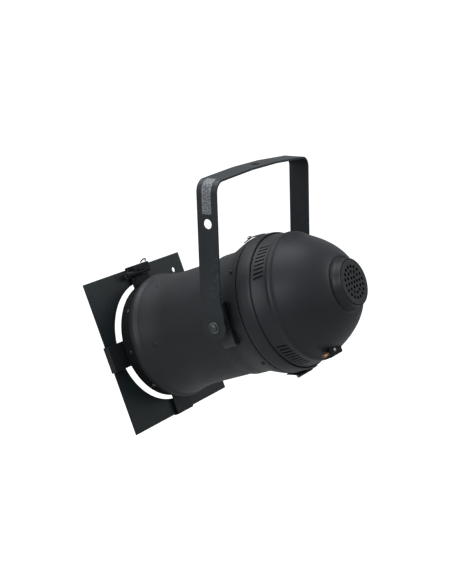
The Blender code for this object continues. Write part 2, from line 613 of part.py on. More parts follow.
def cap_dome():
    """The spun rear cap, with four groups of vent slots round its band."""
    obj = piece("cap_dome", shell(dome_line()), POWDER, CAP)
    low, high = sorted(SLOT_S)
    half = SLOT_WIDTH / 2
    middle = (low + high) / 2
    cutters = [rod(at(*LEAD_HOLE, 0), Z_AXIS, 4.0 * MM, -96 * MM, -70 * MM, 12)]
    for group in (SLOT_GROUP, -SLOT_GROUP, math.pi - SLOT_GROUP, math.pi + SLOT_GROUP):
        lean = math.copysign(SLOT_LEAN, math.sin(2 * group))
        for number in range(SLOTS_PER_GROUP):
            angle = group + SLOT_STEP * (number - (SLOTS_PER_GROUP - 1) / 2)
            spoke = Vector((math.cos(angle), 0, math.sin(angle)))
            across = Y_AXIS.cross(spoke)
            outline = [(low, -half), (high, -half), (high, half), (low, half)]

            def place(s, t, r, spoke=spoke, across=across, lean=lean):
                return at(0, s, 0) + across * (t + lean * (s - middle)) + spoke * r

            cutters.append(prism(outline, 92 * MM, 110 * MM, place))
    boolean(obj, piece("vent_slots", merged(cutters), None, CAP, cutter=True), "DIFFERENCE")


def cap_band():
    """A rolled ring round the cap's front edge."""
    outer = scaled([(-41.8, 105.9), (-42.6, 107.5), (-45, 108.2), (-63.6, 106.3), (-65.4, 104.9)])
    piece("cap_band", shell(outer), POWDER, CAP)


def vent_grille():
    """A perforated disc in the boss: a hole in the middle and rings of 6, 12 and 18 round it."""
    inner = BOSS_S + SHEET
    disc = [(BOSS_S, 0), (BOSS_S, 33.8 * MM), (inner, 33.8 * MM), (inner, 0)]
    obj = piece("vent_grille", spun(disc, closed=False), POWDER, CAP)
    holes = [(at(0, BOSS_S, 0), Y_AXIS, 1.9 * MM, 3 * MM)]
    for ring, count in ((1, 6), (2, 12), (3, 18)):
        places = ring_points(ring * 7.8 * MM, count)
        holes += [(at(x, BOSS_S, u), Y_AXIS, 1.9 * MM, 3 * MM) for x, u in places]
    drill(obj, holes, 6)


def cap_hinge():
    """Two leaves and a pin under the joint between the barrel and the cap."""
    pin = at(0, *CAP_PIN)
    leaves = (
        ("hinge_leaf_barrel", CAN, [(-22, -104.8), (-38.6, -109.2), (-40.2, -110.2)],
         ((-1, 7 * MM, 20 * MM), (1, 7 * MM, 20 * MM)), ((0, 6.7 * MM),)),
        ("hinge_leaf_cap", CAP, [(-54, -109.4), (-44.6, -110.0), (-42.6, -110.4)],
         ((1, -6.4 * MM, 6.4 * MM),), ((-14 * MM, 7.3 * MM), (14 * MM, 7.3 * MM))),
    )
    for name, parent, path, ears, notches in leaves:
        bm = strip(scaled(path), 1.2 * MM, -20 * MM, 20 * MM, lambda s, u, x: at(x, s, u))
        leaf = piece(name, bm, POWDER, parent)
        cuts = merged([rod(pin + X_AXIS * x, X_AXIS, 3.4 * MM, -half, half) for x, half in notches])
        boolean(leaf, piece(name + "_notch", cuts, None, parent, cutter=True), "DIFFERENCE")
        knuckles(leaf, pin, parent, ears, 1.7 * MM, 2.9 * MM)
    piece("hinge_pin", rod(pin, X_AXIS, 1.4 * MM, -21.5 * MM, 21.5 * MM, 12), ZINC, CAN)


def cap_catch():
    """A spring-wire loop on the cap's band, which snaps over a hook on the barrel."""
    middle, half = 12, 6
    side = [(half, -60, 107.9), (half, -51, 109.0), (half, -38, 109.5), (half * 0.6, -33.5, 109.3)]
    loop = [(-x, s, u) for x, s, u in side] + side[::-1]
    points = [at((middle + x) * MM, s * MM, u * MM) for x, s, u in loop]
    wire("cap_catch", smooth_path(points, 3), 0.8 * MM, ZINC, CAP, 1)
    path = rounded(scaled([(-23, 104.9), (-36.8, 108.7), (-36.8, 111.5), (-33.0, 111.7)]), 1.0 * MM, 2)
    hook = strip(path, 1.0 * MM, (middle - 2.5) * MM, (middle + 2.5) * MM, lambda s, u, x: at(x, s, u))
    piece("catch_hook", hook, ZINC, CAN)


def lead_entry():
    """Under the cap: a box-shaped clamp shaped to the dome, its screw, and the bush that grips the cord."""
    low_x, high_x, floor, back = 1 * MM, 34 * MM, -94.0 * MM, -118.5 * MM
    path = rounded([(-107 * MM, floor), (back, floor), (back, -74 * MM)], 1.5 * MM, 2)
    clamp = piece("lead_clamp", strip(path, 1.4 * MM, low_x, high_x, lambda s, u, x: at(x, s, u)), MATT, CAP)
    dome = [(s, r + GAP) for s, r in dome_line()]
    clear = spun([(dome[0][0], 0.0)] + dome + [(dome[-1][0], 0.0)], closed=False)
    boolean(clamp, piece("dome_clearance", clear, None, CAP, cutter=True), "DIFFERENCE")
    screw = at(22 * MM, back - 0.7 * MM, -85.6 * MM)
    head = [(0.3 * MM, 0), (0.3 * MM, 2.8 * MM), (1.4 * MM, 2.8 * MM), (2.2 * MM, 1.8 * MM), (2.4 * MM, 0)]
    piece("clamp_screw", lathe(screw, Y_AXIS, head, 14, closed=False), ZINC, CAP)
    bush = washer(at(0, -114.6 * MM, -87.8 * MM), X_AXIS, 1.2 * MM, 2.5 * MM, 31 * MM, 47 * MM, 14)
    piece("cord_bush", bush, COPPER, CAP)


def earth_terminal():
    """The earth screw on the cap's inner face, square to the dome."""
    slope = math.radians(28)
    inward = at(0, math.sin(slope), math.cos(slope))
    head = [(0.8 * MM, 0), (0.8 * MM, 3.4 * MM), (2.4 * MM, 3.4 * MM), (3.2 * MM, 2.2 * MM), (3.4 * MM, 0)]
    foot = at(-14 * MM, -112 * MM, -86.5 * MM)
    piece("earth_screw", lathe(foot, inward, head, 12, closed=False), COPPER, CAP)


def build():
    yoke()
    rating_label()
    pivots()
    front_barrel()
    rear_barrel()
    front_ring()
    pivot_brackets()
    barrel_screws()
    gel_frame()
    frame_clip("left_clip", -X_AXIS, 127.1 * MM)
    frame_clip("right_clip", X_AXIS, 127.1 * MM)
    frame_clip("bottom_clip", -Z_AXIS, 125.9 * MM)
    latch()
    latch_spring()
    lamp()
    lamp_holder()
    lamp_ring()
    lamp_lead()
    cap_dome()
    cap_band()
    vent_grille()
    cap_hinge()
    cap_catch()
    lead_entry()
    earth_terminal()


clear_scene()
TILT_AXIS = empty("tilt_axis", None, (0, 0, -PIVOT_DROP), TILT)
CAN = empty("can_axis", TILT_AXIS, (0, 0, -AXIS_DROP))
GATE = empty("latch_axis", CAN, at(0, *LATCH_PIN))
CAP = empty("cap_axis", CAN, at(0, *CAP_PIN))
LAMP = empty("lamp_axis", CAN)
build()
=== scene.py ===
"""The par can light's surface model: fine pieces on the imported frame, then floor, light and camera."""

import json
import math

import bmesh
import bpy
from mathutils import Matrix, Vector
from mathutils.geometry import interpolate_bezier


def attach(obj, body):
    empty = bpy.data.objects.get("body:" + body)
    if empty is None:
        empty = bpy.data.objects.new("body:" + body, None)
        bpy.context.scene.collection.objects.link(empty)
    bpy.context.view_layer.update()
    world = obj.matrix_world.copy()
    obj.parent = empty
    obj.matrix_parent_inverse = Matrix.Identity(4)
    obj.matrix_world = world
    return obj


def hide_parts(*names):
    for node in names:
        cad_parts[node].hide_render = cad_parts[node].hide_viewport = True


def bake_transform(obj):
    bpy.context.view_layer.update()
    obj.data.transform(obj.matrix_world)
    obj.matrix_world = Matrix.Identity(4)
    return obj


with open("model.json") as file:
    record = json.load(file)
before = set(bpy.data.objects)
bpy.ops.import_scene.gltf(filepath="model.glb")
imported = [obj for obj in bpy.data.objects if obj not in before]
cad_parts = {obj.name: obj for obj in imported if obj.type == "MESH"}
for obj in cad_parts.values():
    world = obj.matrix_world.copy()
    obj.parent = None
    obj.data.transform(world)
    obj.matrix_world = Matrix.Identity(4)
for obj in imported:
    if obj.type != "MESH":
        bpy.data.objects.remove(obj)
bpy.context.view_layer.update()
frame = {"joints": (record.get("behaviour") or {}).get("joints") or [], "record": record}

MM = 0.001
JOINTS = {joint["name"]: joint for joint in frame["joints"]}
PIVOT = Vector(JOINTS["can_tilt"]["pos_m"])
BEAM = Vector(JOINTS["lamp_turn"]["axis"])
ORIGIN = Vector(JOINTS["lamp_turn"]["pos_m"])
CAN_FRAME = Matrix.Translation(ORIGIN) @ Vector((0, -1, 0)).rotation_difference(BEAM).to_matrix().to_4x4()
BODY_OF = {node: body for body, members in frame["record"]["behaviour"]["bodies"].items() for node in members}

ROUND = 144
DARK_WALL, BRIGHT_WALL = 0.14, 0.56       # the studio's walls, as the object sees them
X_AXIS, Y_AXIS, Z_AXIS = Vector((1, 0, 0)), Vector((0, 1, 0)), Vector((0, 0, 1))
BRIGHT_SIDE = Vector((-0.4, 0.5, 0.8))

# Driving dimensions, the same as the solids'
YOKE_HALF, STRAP_WIDTH, STRAP_WALL = 130 * MM, 34 * MM, 3 * MM
CROWN, SEAT_HALF, YOKE_CORNER = 5 * MM, 34 * MM, 18 * MM
JOGGLE, JOGGLE_LOW, JOGGLE_HIGH, LUG_RADIUS = 8 * MM, 20 * MM, 44 * MM, 19.8 * MM
PIVOT_DROP = -PIVOT.z
AXIS_DROP = 3.5 * MM
BRACKET_PLATE, BRACKET_WALL, BRACKET_PAD = 106 * MM, 2 * MM, 101.8 * MM
BRACKET_TOP, BRACKET_FOOT = 30 * MM, -35 * MM
BRACKET_REAR, BRACKET_FRONT = -14.5 * MM, 8 * MM
SHEET, TUBE, SLEEVE, RIM = 1.2 * MM, 92.7 * MM, 95.6 * MM, 107.9 * MM
LATCH_PIN = (204.6 * MM, 114.8 * MM)
CAP_PIN = (-41.4 * MM, -111.4 * MM)


# ------------------------------------------------------------------ materials

class Paint:
    """A Principled material with the few procedural nodes its finish needs."""

    def __init__(self, name, colour, rough, metallic=0.0):
        self.material = bpy.data.materials.new(name)
        self.material.use_nodes = True
        self.tree = self.material.node_tree
        self.shader = self.tree.nodes["Principled BSDF"]
        self.shader.inputs["Metallic"].default_value = metallic
        self.shader.inputs["Roughness"].default_value = rough
        self.shader.inputs["Base Color"].default_value = (*colour, 1)
        self.place = self.add("ShaderNodeTexCoord").outputs["Object"]
        self.normal = None

    def add(self, kind, **settings):
        node = self.tree.nodes.new(kind)
        for key, value in settings.items():
            setattr(node, key, value)
        return node

    def link(self, a, b):
        self.tree.links.new(a, b)

    def noise(self, scale, detail=3.0, rough=0.55):
        node = self.add("ShaderNodeTexNoise")
        node.inputs["Scale"].default_value = scale
        node.inputs["Detail"].default_value = detail
        node.inputs["Roughness"].default_value = rough
        self.link(self.place, node.inputs["Vector"])
        return node.outputs["Fac"]

    def spread(self, value, low, high, to_low=0.0, to_high=1.0):
        node = self.add("ShaderNodeMapRange")
        node.inputs["From Min"].default_value = low
        node.inputs["From Max"].default_value = high
        node.inputs["To Min"].default_value = to_low
        node.inputs["To Max"].default_value = to_high
        self.link(value, node.inputs["Value"])
        return node.outputs["Result"]

    def tint(self, factor, first, second):
        """Base colour from first to second, over whatever already drives it."""
        mix = self.add("ShaderNodeMix", data_type="RGBA")
        self.link(factor, mix.inputs["Factor"])
        if isinstance(first, tuple):
            mix.inputs["A"].default_value = (*first, 1)
        else:
            self.link(first, mix.inputs["A"])
        mix.inputs["B"].default_value = (*second, 1)
        self.link(mix.outputs["Result"], self.shader.inputs["Base Color"])
        return mix.outputs["Result"]

    def rough(self, value):
        self.link(value, self.shader.inputs["Roughness"])

    def bump(self, height, distance, strength=1.0):
        node = self.add("ShaderNodeBump")
        node.inputs["Strength"].default_value = strength
        node.inputs["Distance"].default_value = distance
        self.link(height, node.inputs["Height"])
        if self.normal:
            self.link(self.normal, node.inputs["Normal"])
        self.normal = node.outputs["Normal"]
        self.link(self.normal, self.shader.inputs["Normal"])

    def worn_edges(self, base, colour, low=0.53, high=0.62, most=0.5):
        """Edges rubbed lighter, broken up by a noise."""
        point = self.add("ShaderNodeNewGeometry").outputs["Pointiness"]
        edge = self.spread(point, low, high)
        patchy = self.add("ShaderNodeMath", operation="MULTIPLY")
        self.link(edge, patchy.inputs[0])
        self.link(self.spread(self.noise(160, 4), 0.42, 0.62, 0.0, most), patchy.inputs[1])
        return self.tint(patchy.outputs["Value"], base, colour)


def scale_colour(colour, amount):
    return tuple(c * amount for c in colour)


def powder_coat(name, colour, rough, grain=620.0, wear=0.35):
    """Satin powder coat: orange peel, a drift in gloss and shade, a few dust specks, edges rubbed lighter."""
    paint = Paint(name, colour, rough)
    dull, pale = scale_colour(colour, 0.88), scale_colour(colour, 1.14)
    shade = paint.tint(paint.spread(paint.noise(11, 3), 0.3, 0.7), dull, pale)
    speck = paint.spread(paint.noise(1900, 1), 0.74, 0.80, 0.0, 0.55)
    dust = paint.tint(speck, shade, scale_colour(colour, 3.2))
    paint.worn_edges(dust, scale_colour(colour, 3.6), most=wear)
    paint.rough(paint.spread(paint.noise(23, 4, 0.6), 0.25, 0.75, rough - 0.05, rough + 0.07))
    paint.bump(paint.noise(grain, 2, 0.5), 0.00006, 0.5)
    paint.bump(paint.noise(grain * 3.1, 1, 0.5), 0.00002, 0.35)
    paint.shader.inputs["Specular IOR Level"].default_value = 0.4
    return paint.material


def matt_black(name, colour=(0.007, 0.007, 0.008), rough=0.55, gloss=0.2):
    paint = Paint(name, colour, rough)
    paint.shader.inputs["Specular IOR Level"].default_value = gloss
    dull, pale = scale_colour(colour, 0.75), scale_colour(colour, 1.5)
    shade = paint.tint(paint.spread(paint.noise(60, 4), 0.3, 0.7), dull, pale)
    paint.worn_edges(shade, scale_colour(colour, 7.0), most=0.45)
    paint.rough(paint.spread(paint.noise(90, 3), 0.3, 0.7, rough - 0.09, rough + 0.1))
    paint.bump(paint.noise(1100, 3), 0.00004, 0.6)
    return paint.material


def zinc(name, colour=(0.58, 0.59, 0.61), rough=0.3):
    """Bright zinc plate: faintly mottled, with fine drawing marks."""
    paint = Paint(name, colour, rough, 1.0)
    dull, pale = scale_colour(colour, 0.82), scale_colour(colour, 1.1)
    tone = paint.tint(paint.spread(paint.noise(140, 4), 0.3, 0.7), dull, pale)
    paint.tint(paint.spread(paint.noise(55, 2), 0.56, 0.75, 0.0, 0.4), tone, (0.46, 0.42, 0.34))
    paint.rough(paint.spread(paint.noise(300, 4), 0.3, 0.7, rough - 0.08, rough + 0.16))
    paint.bump(paint.noise(2600, 2, 0.6), 0.00001, 0.5)
    return paint.material


def copper(name, colour=(0.83, 0.42, 0.2)):
    paint = Paint(name, colour, 0.34, 0.85)
    paint.tint(paint.spread(paint.noise(200, 4), 0.4, 0.72), colour, scale_colour(colour, 0.5))
    paint.rough(paint.spread(paint.noise(400, 3), 0.3, 0.7, 0.24, 0.48))
    paint.bump(paint.noise(2200, 2), 0.00001, 0.5)
    return paint.material


def mirror(name):
    """Aluminised glass: bright, with the ripple of pressed glass under it."""
    paint = Paint(name, (0.88, 0.88, 0.9), 0.08, 1.0)
    paint.tint(paint.spread(paint.noise(30, 3), 0.35, 0.7), (0.9, 0.9, 0.92), (0.72, 0.73, 0.76))
    paint.rough(paint.spread(paint.noise(40, 3), 0.3, 0.7, 0.05, 0.16))
    paint.bump(paint.noise(70, 2), 0.0006, 0.25)
    return paint.material


def pressed_glass(name, flute):
    """Clear pressed glass; flute is the pitch of its light-spreading bumps per metre, 0 for a plain bulb."""
    paint = Paint(name, (0.93, 0.96, 0.96), 0.05)
    paint.shader.inputs["Transmission Weight"].default_value = 1.0
    paint.shader.inputs["IOR"].default_value = 1.5
    paint.rough(paint.spread(paint.noise(30, 3), 0.3, 0.7, 0.03, 0.11))
    if flute:
        cells = paint.add("ShaderNodeTexVoronoi", feature="SMOOTH_F1")
        cells.inputs["Scale"].default_value = flute
        cells.inputs["Randomness"].default_value = 0.35
        paint.link(paint.place, cells.inputs["Vector"])
        paint.bump(cells.outputs["Distance"], 0.002, 0.7)
    paint.bump(paint.noise(25, 2), 0.001, 0.1)
    return paint.material


def ceramic(name):
    # Painted shade: the holder's ceramic is given a dark brown-grey, darker than the real ceramic, to stand
    # for the shade inside the cap.
    paint = Paint(name, (0.2, 0.18, 0.15), 0.62)
    base = paint.tint(paint.spread(paint.noise(45, 4), 0.3, 0.7), (0.22, 0.2, 0.17), (0.16, 0.14, 0.115))
    paint.tint(paint.spread(paint.noise(1500, 1), 0.7, 0.76, 0, 0.7), base, (0.08, 0.07, 0.06))
    paint.rough(paint.spread(paint.noise(120, 3), 0.3, 0.7, 0.52, 0.72))
    paint.bump(paint.noise(900, 4), 0.00005, 0.6)
    return paint.material


def sleeving(name):
    """Braided glass-fibre sleeve over the leads, near-black: a dark sleeve, darkened further as painted shade
    for the inside of the cap.
    """
    paint = Paint(name, (0.05, 0.046, 0.038), 0.85)
    mottle = paint.spread(paint.noise(90, 3), 0.3, 0.7)
    base = paint.tint(mottle, (0.058, 0.053, 0.044), (0.036, 0.033, 0.027))
    braid = paint.add("ShaderNodeTexVoronoi", feature="F1", distance="MANHATTAN")
    braid.inputs["Scale"].default_value = 900
    paint.link(paint.place, braid.inputs["Vector"])
    strand = paint.spread(braid.outputs["Distance"], 0.1, 0.75)
    paint.tint(strand, base, (0.03, 0.027, 0.022))
    paint.shader.inputs["Sheen Weight"].default_value = 0.25
    paint.bump(strand, -0.0003, 0.7)
    return paint.material


def sticker(name):
    """A plain grey foil label with a soft printed fleck, and no lettering."""
    paint = Paint(name, (0.11, 0.112, 0.121), 0.42)
    tone = paint.tint(paint.spread(paint.noise(60, 3), 0.3, 0.7), (0.09, 0.092, 0.1), (0.13, 0.132, 0.141))
    paint.tint(paint.spread(paint.noise(430, 2, 0.6), 0.5, 0.6, 0.0, 0.7), tone, (0.40, 0.405, 0.42))
    paint.rough(paint.spread(paint.noise(200, 3), 0.3, 0.7, 0.34, 0.5))
    paint.bump(paint.noise(500, 2), 0.00003, 0.4)
    return paint.material


BARREL_COAT = powder_coat("barrel_coat", (0.0145, 0.0158, 0.0182), 0.47)
# Painted light: the brackets' black coat is made more than twice as light as the barrel's, so that their
# edges read as lit.
BRACKET_COAT_PAINTED_LIGHT = powder_coat("bracket_coat_painted_light", (0.034, 0.037, 0.042), 0.44)
CAP_COAT = powder_coat("cap_coat", (0.0150, 0.0168, 0.0198), 0.43)
YOKE_COAT = powder_coat("yoke_coat", (0.0195, 0.0230, 0.0262), 0.44)
FRAME_COAT = powder_coat("frame_coat", (0.0130, 0.0182, 0.0200), 0.4)
# Painted shade: a darker copy of the black coat, used on the clips, the cap hinge's leaves and the pressed
# dimples to darken them as if shaded.
PAINTED_SHADE_COAT = powder_coat("painted_shade_coat", (0.0085, 0.0102, 0.0120), 0.5)
SCREW_COAT = powder_coat("screw_coat", (0.0130, 0.0138, 0.0155), 0.36, wear=0.6)
MATT = matt_black("ring_black", (0.003, 0.003, 0.0035), 0.68)
LATCH_BLACK = matt_black("latch_black", (0.004, 0.004, 0.005), 0.46)
CLAMP_BLACK = matt_black("clamp_black", (0.004, 0.005, 0.006), 0.6)
GRILLE_COAT = powder_coat("grille_coat", (0.0125, 0.0138, 0.0150), 0.5)
ZINC = zinc("zinc_plate")
SPRING_STEEL = zinc("spring_steel", (0.2, 0.2, 0.21), 0.34)
DARK_STEEL = zinc("dark_steel", (0.05, 0.05, 0.052), 0.45)
WASHER_STEEL = zinc("washer_steel", (0.24, 0.245, 0.25), 0.36)
BOLT_STEEL = zinc("bolt_steel", (0.11, 0.115, 0.115), 0.42)
COPPER = copper("copper")
MIRROR = mirror("aluminised_bowl")
# Painted shade: a near-black for the cap's inner faces and the grille's back and hole walls, where shade
# falls.
INSIDE_PAINTED_SHADE = matt_black("cap_inside_painted_shade", (0.0025, 0.0025, 0.003), 0.8)
# Painted shade: the bowl's outside, silvered glass on the real lamp, is painted dull dark so that it stays
# dark inside the cap.
BOWL_BACK_PAINTED_SHADE = matt_black("bowl_back_painted_shade", (0.02, 0.021, 0.023), 0.5)
LENS = pressed_glass("lens_glass", 95)
BULB = pressed_glass("bulb_glass", 0)
CERAMIC = ceramic("ceramic")
SLEEVING = sleeving("glass_braid")
LABEL = sticker("plain_sticker")


# ------------------------------------------------------------------ shapes

def at(x, s, u):
    """A place in the can's frame: s runs to the front from the pivot's plane, u up from the can's axis."""
    return Vector((x, -s, u))


def piece(node, bm, paint, bevel=0.0, on_can=True, name=None, body=None, sharp=35.0, segments=2):
    """A finished piece that stands for a CAD node, or a detail of its own when name is given."""
    bmesh.ops.remove_doubles(bm, verts=bm.verts, dist=1e-6)
    bmesh.ops.recalc_face_normals(bm, faces=bm.faces)
    if on_can:
        bm.transform(CAN_FRAME)
    name = name or f"{node}_fine"
    mesh = bpy.data.meshes.new(name)
    bm.to_mesh(mesh)
    bm.free()
    obj = bpy.data.objects.new(name, mesh)
    bpy.context.collection.objects.link(obj)
    return finish(obj, node, paint, bevel, body, sharp, segments)


def finish(obj, node, paint, bevel=0.0, body=None, sharp=35.0, segments=2):
    obj.data.materials.append(paint)
    obj.data.shade_smooth()
    if bevel:
        edge = obj.modifiers.new("edge", "BEVEL")
        edge.width = bevel
        edge.segments = segments
        edge.limit_method = "ANGLE"
        edge.angle_limit = math.radians(40)
        edge.harden_normals = True
        edge.use_clamp_overlap = True
    else:
        obj.data.set_sharp_from_angle(angle=math.radians(sharp))
    if node:
        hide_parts(node)
    if body != "blended":
        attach(obj, body or BODY_OF[node])
    return obj


def cut(obj, bm, on_can=True, operation="DIFFERENCE"):
    """Applies a Boolean with a throwaway cutter."""
    bmesh.ops.recalc_face_normals(bm, faces=bm.faces)
    if on_can:
        bm.transform(CAN_FRAME)
    mesh = bpy.data.meshes.new("cutter")
    bm.to_mesh(mesh)
    bm.free()
    other = bpy.data.objects.new("cutter", mesh)
    bpy.context.collection.objects.link(other)
    change = obj.modifiers.new("cut", "BOOLEAN")
    change.operation = operation
    change.solver = "EXACT"
    change.object = other
    bpy.context.view_layer.update()
    result = bpy.data.meshes.new_from_object(obj.evaluated_get(bpy.context.evaluated_depsgraph_get()))
    obj.modifiers.remove(change)
    old = obj.data
    obj.data = result
    bpy.data.meshes.remove(old)
    bpy.data.objects.remove(other, do_unlink=True)
    bpy.data.meshes.remove(mesh)


def raw(bm, on_can=True):
    bmesh.ops.remove_doubles(bm, verts=bm.verts, dist=1e-6)
    bmesh.ops.recalc_face_normals(bm, faces=bm.faces)
    if on_can:
        bm.transform(CAN_FRAME)
    mesh = bpy.data.meshes.new("raw")
    bm.to_mesh(mesh)
    bm.free()
    obj = bpy.data.objects.new("raw", mesh)
    bpy.context.collection.objects.link(obj)
    return obj


def named(obj, name):
    obj.name = name
    obj.data.name = name
    return obj


def bezier(start, start_handle, end_handle, end, steps):
    controls = [Vector((*p, 0)) for p in (start, start_handle, end_handle, end)]
    return [(p.x, p.y) for p in interpolate_bezier(*controls, steps + 1)]


def scaled(points):
    return [(a * MM, b * MM) for a, b in points]


def offset(path, distance):
    """A path moved sideways, to its right as it is walked."""
    moved = []
    for i, point in enumerate(path):
        here = Vector(point)
        before = here - Vector(path[i - 1]) if i else Vector(path[1]) - here
        after = Vector(path[i + 1]) - here if i + 1 < len(path) else before
        before, after = before.normalized(), after.normalized()
        normal = Vector((before.y + after.y, -before.x - after.x)).normalized()
        reach = distance / max(0.3, normal.dot(Vector((before.y, -before.x))))
        moved.append(tuple(here + normal * reach))
    return moved


def rounded(path, radius, steps=8):
    """An open path with its inner corners turned into arcs."""
    points = [path[0]]
    for before, corner, after in zip(path, path[1:], path[2:]):
        corner = Vector(corner)
        to_before = (Vector(before) - corner).normalized()
        to_after = (Vector(after) - corner).normalized()
        half = to_before.angle(to_after) / 2
        tangent = radius / math.tan(half)
        middle = corner + (to_before + to_after).normalized() * (radius / math.sin(half))
        first = corner + to_before * tangent - middle
        last = corner + to_after * tangent - middle
        sweep = first.angle_signed(last)
        points += [tuple(middle + Matrix.Rotation(-sweep * i / steps, 2) @ first) for i in range(steps + 1)]
    return points + [path[-1]]


def smooth(knots, per_span=6):
    """A smooth line through knots in two or three dimensions (Catmull-Rom)."""
    flat = len(knots[0]) == 2
    knots = [Vector((*k, 0)) if flat else Vector(k) for k in knots]
    padded = [2 * knots[0] - knots[1], *knots, 2 * knots[-1] - knots[-2]]
    line = []
    for a, b, c, d in zip(padded, padded[1:], padded[2:], padded[3:]):
        line += interpolate_bezier(b, b + (c - a) / 6, c - (d - b) / 6, c, per_span + 1)[:-1]
    line.append(knots[-1])
    return [(p.x, p.y) for p in line] if flat else line


def turned(outline, steps=ROUND, closed=True):
    """A turned piece about the can's axis from an outline of (s, radius)."""
    bm = bmesh.new()
    rings = []
    for s, radius in outline:
        if radius < 1e-7:
            rings.append([bm.verts.new((0, -s, 0))] * steps)
            continue
        turns = [2 * math.pi * i / steps for i in range(steps)]
        rings.append([bm.verts.new((radius * math.sin(a), -s, radius * math.cos(a))) for a in turns])
    for ring, following in zip(rings, rings[1:] + (rings[:1] if closed else [])):
        for i in range(steps):
            j = (i + 1) % steps
            corners = list(dict.fromkeys((ring[i], ring[j], following[j], following[i])))
            if len(corners) > 2:
                bm.faces.new(corners)
    return bm


def shell(outer, wall=SHEET, steps=ROUND):
    return turned(outer + offset(outer, -wall)[::-1], steps)


def prism(outline, low, high, place):
    bm = bmesh.new()
    bottom = [bm.verts.new(place(a, b, low)) for a, b in outline]
    top = [bm.verts.new(place(a, b, high)) for a, b in outline]
    bm.faces.new(bottom[::-1])
    bm.faces.new(top)
    for i in range(len(outline)):
        j = (i + 1) % len(outline)
        bm.faces.new((bottom[i], bottom[j], top[j], top[i]))
    return bm


def strip(path, wall, low, high, place):
    """Bent sheet: path is the middle line of its section."""
    return prism(offset(path, wall / 2) + offset(path, -wall / 2)[::-1], low, high, place)


def ring_points(radius, steps, start=0.0):
    angles = [start + 2 * math.pi * i / steps for i in range(steps)]
    return [(radius * math.cos(angle), radius * math.sin(angle)) for angle in angles]


def rod(centre, axis, radius, low, high, steps=32, start=0.0):
    turn = Z_AXIS.rotation_difference(axis).to_matrix()
    outline = ring_points(radius, steps, start)
    return prism(outline, low, high, lambda a, b, c: centre + turn @ Vector((a, b, c)))


def lathe(centre, axis, outline, steps=40, closed=True):
    """A turned piece anywhere: an outline of (height along axis, radius)."""
    bm = turned([(-h, r) for h, r in outline], steps, closed)
    turn = Y_AXIS.rotation_difference(axis).to_matrix().to_4x4()
    bm.transform(Matrix.Translation(centre) @ turn)
    return bm


def merged(parts):
    whole = bmesh.new()
    for part in parts:
        mesh = bpy.data.meshes.new("part")
        part.to_mesh(mesh)
        part.free()
        whole.from_mesh(mesh)
        bpy.data.meshes.remove(mesh)
    return whole


def drilled(holes, steps=48):
    """A cutter of round rods: (centre, axis, radius, half length) each."""
    return merged([rod(centre, axis, radius, -half, half, steps) for centre, axis, radius, half in holes])


def wire(node, points, radius, paint, sides=6, name=None, body=None):
    """A round wire along points in the can's frame."""
    curve = bpy.data.curves.new("wire", "CURVE")
    curve.dimensions = "3D"
    curve.bevel_depth = radius
    curve.bevel_resolution = sides
    curve.use_fill_caps = True
    line = curve.splines.new("POLY")
    line.points.add(len(points) - 1)
    for knot, point in zip(line.points, points):
        knot.co = (*(CAN_FRAME @ Vector(point)), 1)
    holder = bpy.data.objects.new("wire", curve)
    bpy.context.collection.objects.link(holder)
    bpy.context.view_layer.update()
    mesh = bpy.data.meshes.new_from_object(holder.evaluated_get(bpy.context.evaluated_depsgraph_get()))
    bpy.data.objects.remove(holder, do_unlink=True)
    bpy.data.curves.remove(curve)
    name = name or f"{node}_fine"
    mesh.name = name
    obj = bpy.data.objects.new(name, mesh)
    bpy.context.collection.objects.link(obj)
    return finish(obj, node, paint, body=body, sharp=50)


def dome_head(low, radius, height, shoulder=0.35):
    """The outline of a domed head standing on its flat face."""
    side, top = low + height * shoulder, low + height
    curve = bezier((side, radius), (low + height * 0.85, radius * 0.92), (top, radius * 0.5), (top, 0.0), 8)
    return [(low, 0.0), (low, radius * 0.97), (low + height * 0.06, radius)] + curve


# ------------------------------------------------------------------ yoke

def strap_path():
    arm = YOKE_HALF - JOGGLE
    corners = [(SEAT_HALF, 0.0), (YOKE_HALF, -CROWN), (YOKE_HALF, JOGGLE_HIGH - PIVOT_DROP)]
    top = rounded(corners, YOKE_CORNER, 14)[:-1]
    bends = [(YOKE_HALF, PIVOT_DROP), (YOKE_HALF, JOGGLE_HIGH), (arm, JOGGLE_LOW), (arm, 0)]
    joggle = [(x, rise - PIVOT_DROP) for x, rise in rounded(bends, 14 * MM, 7)[1:-1]]
    angles = [math.radians(33 - 5 * i) for i in range(24)]
    lug = [(arm, LUG_RADIUS * math.sin(a) - PIVOT_DROP) for a in angles]
    return top, joggle + lug


def half_width(z):
    rise = z + PIVOT_DROP
    if rise > math.sqrt(LUG_RADIUS**2 - (STRAP_WIDTH / 2) ** 2):
        return STRAP_WIDTH / 2
    return math.sqrt(max(LUG_RADIUS**2 - rise**2, 0.0))


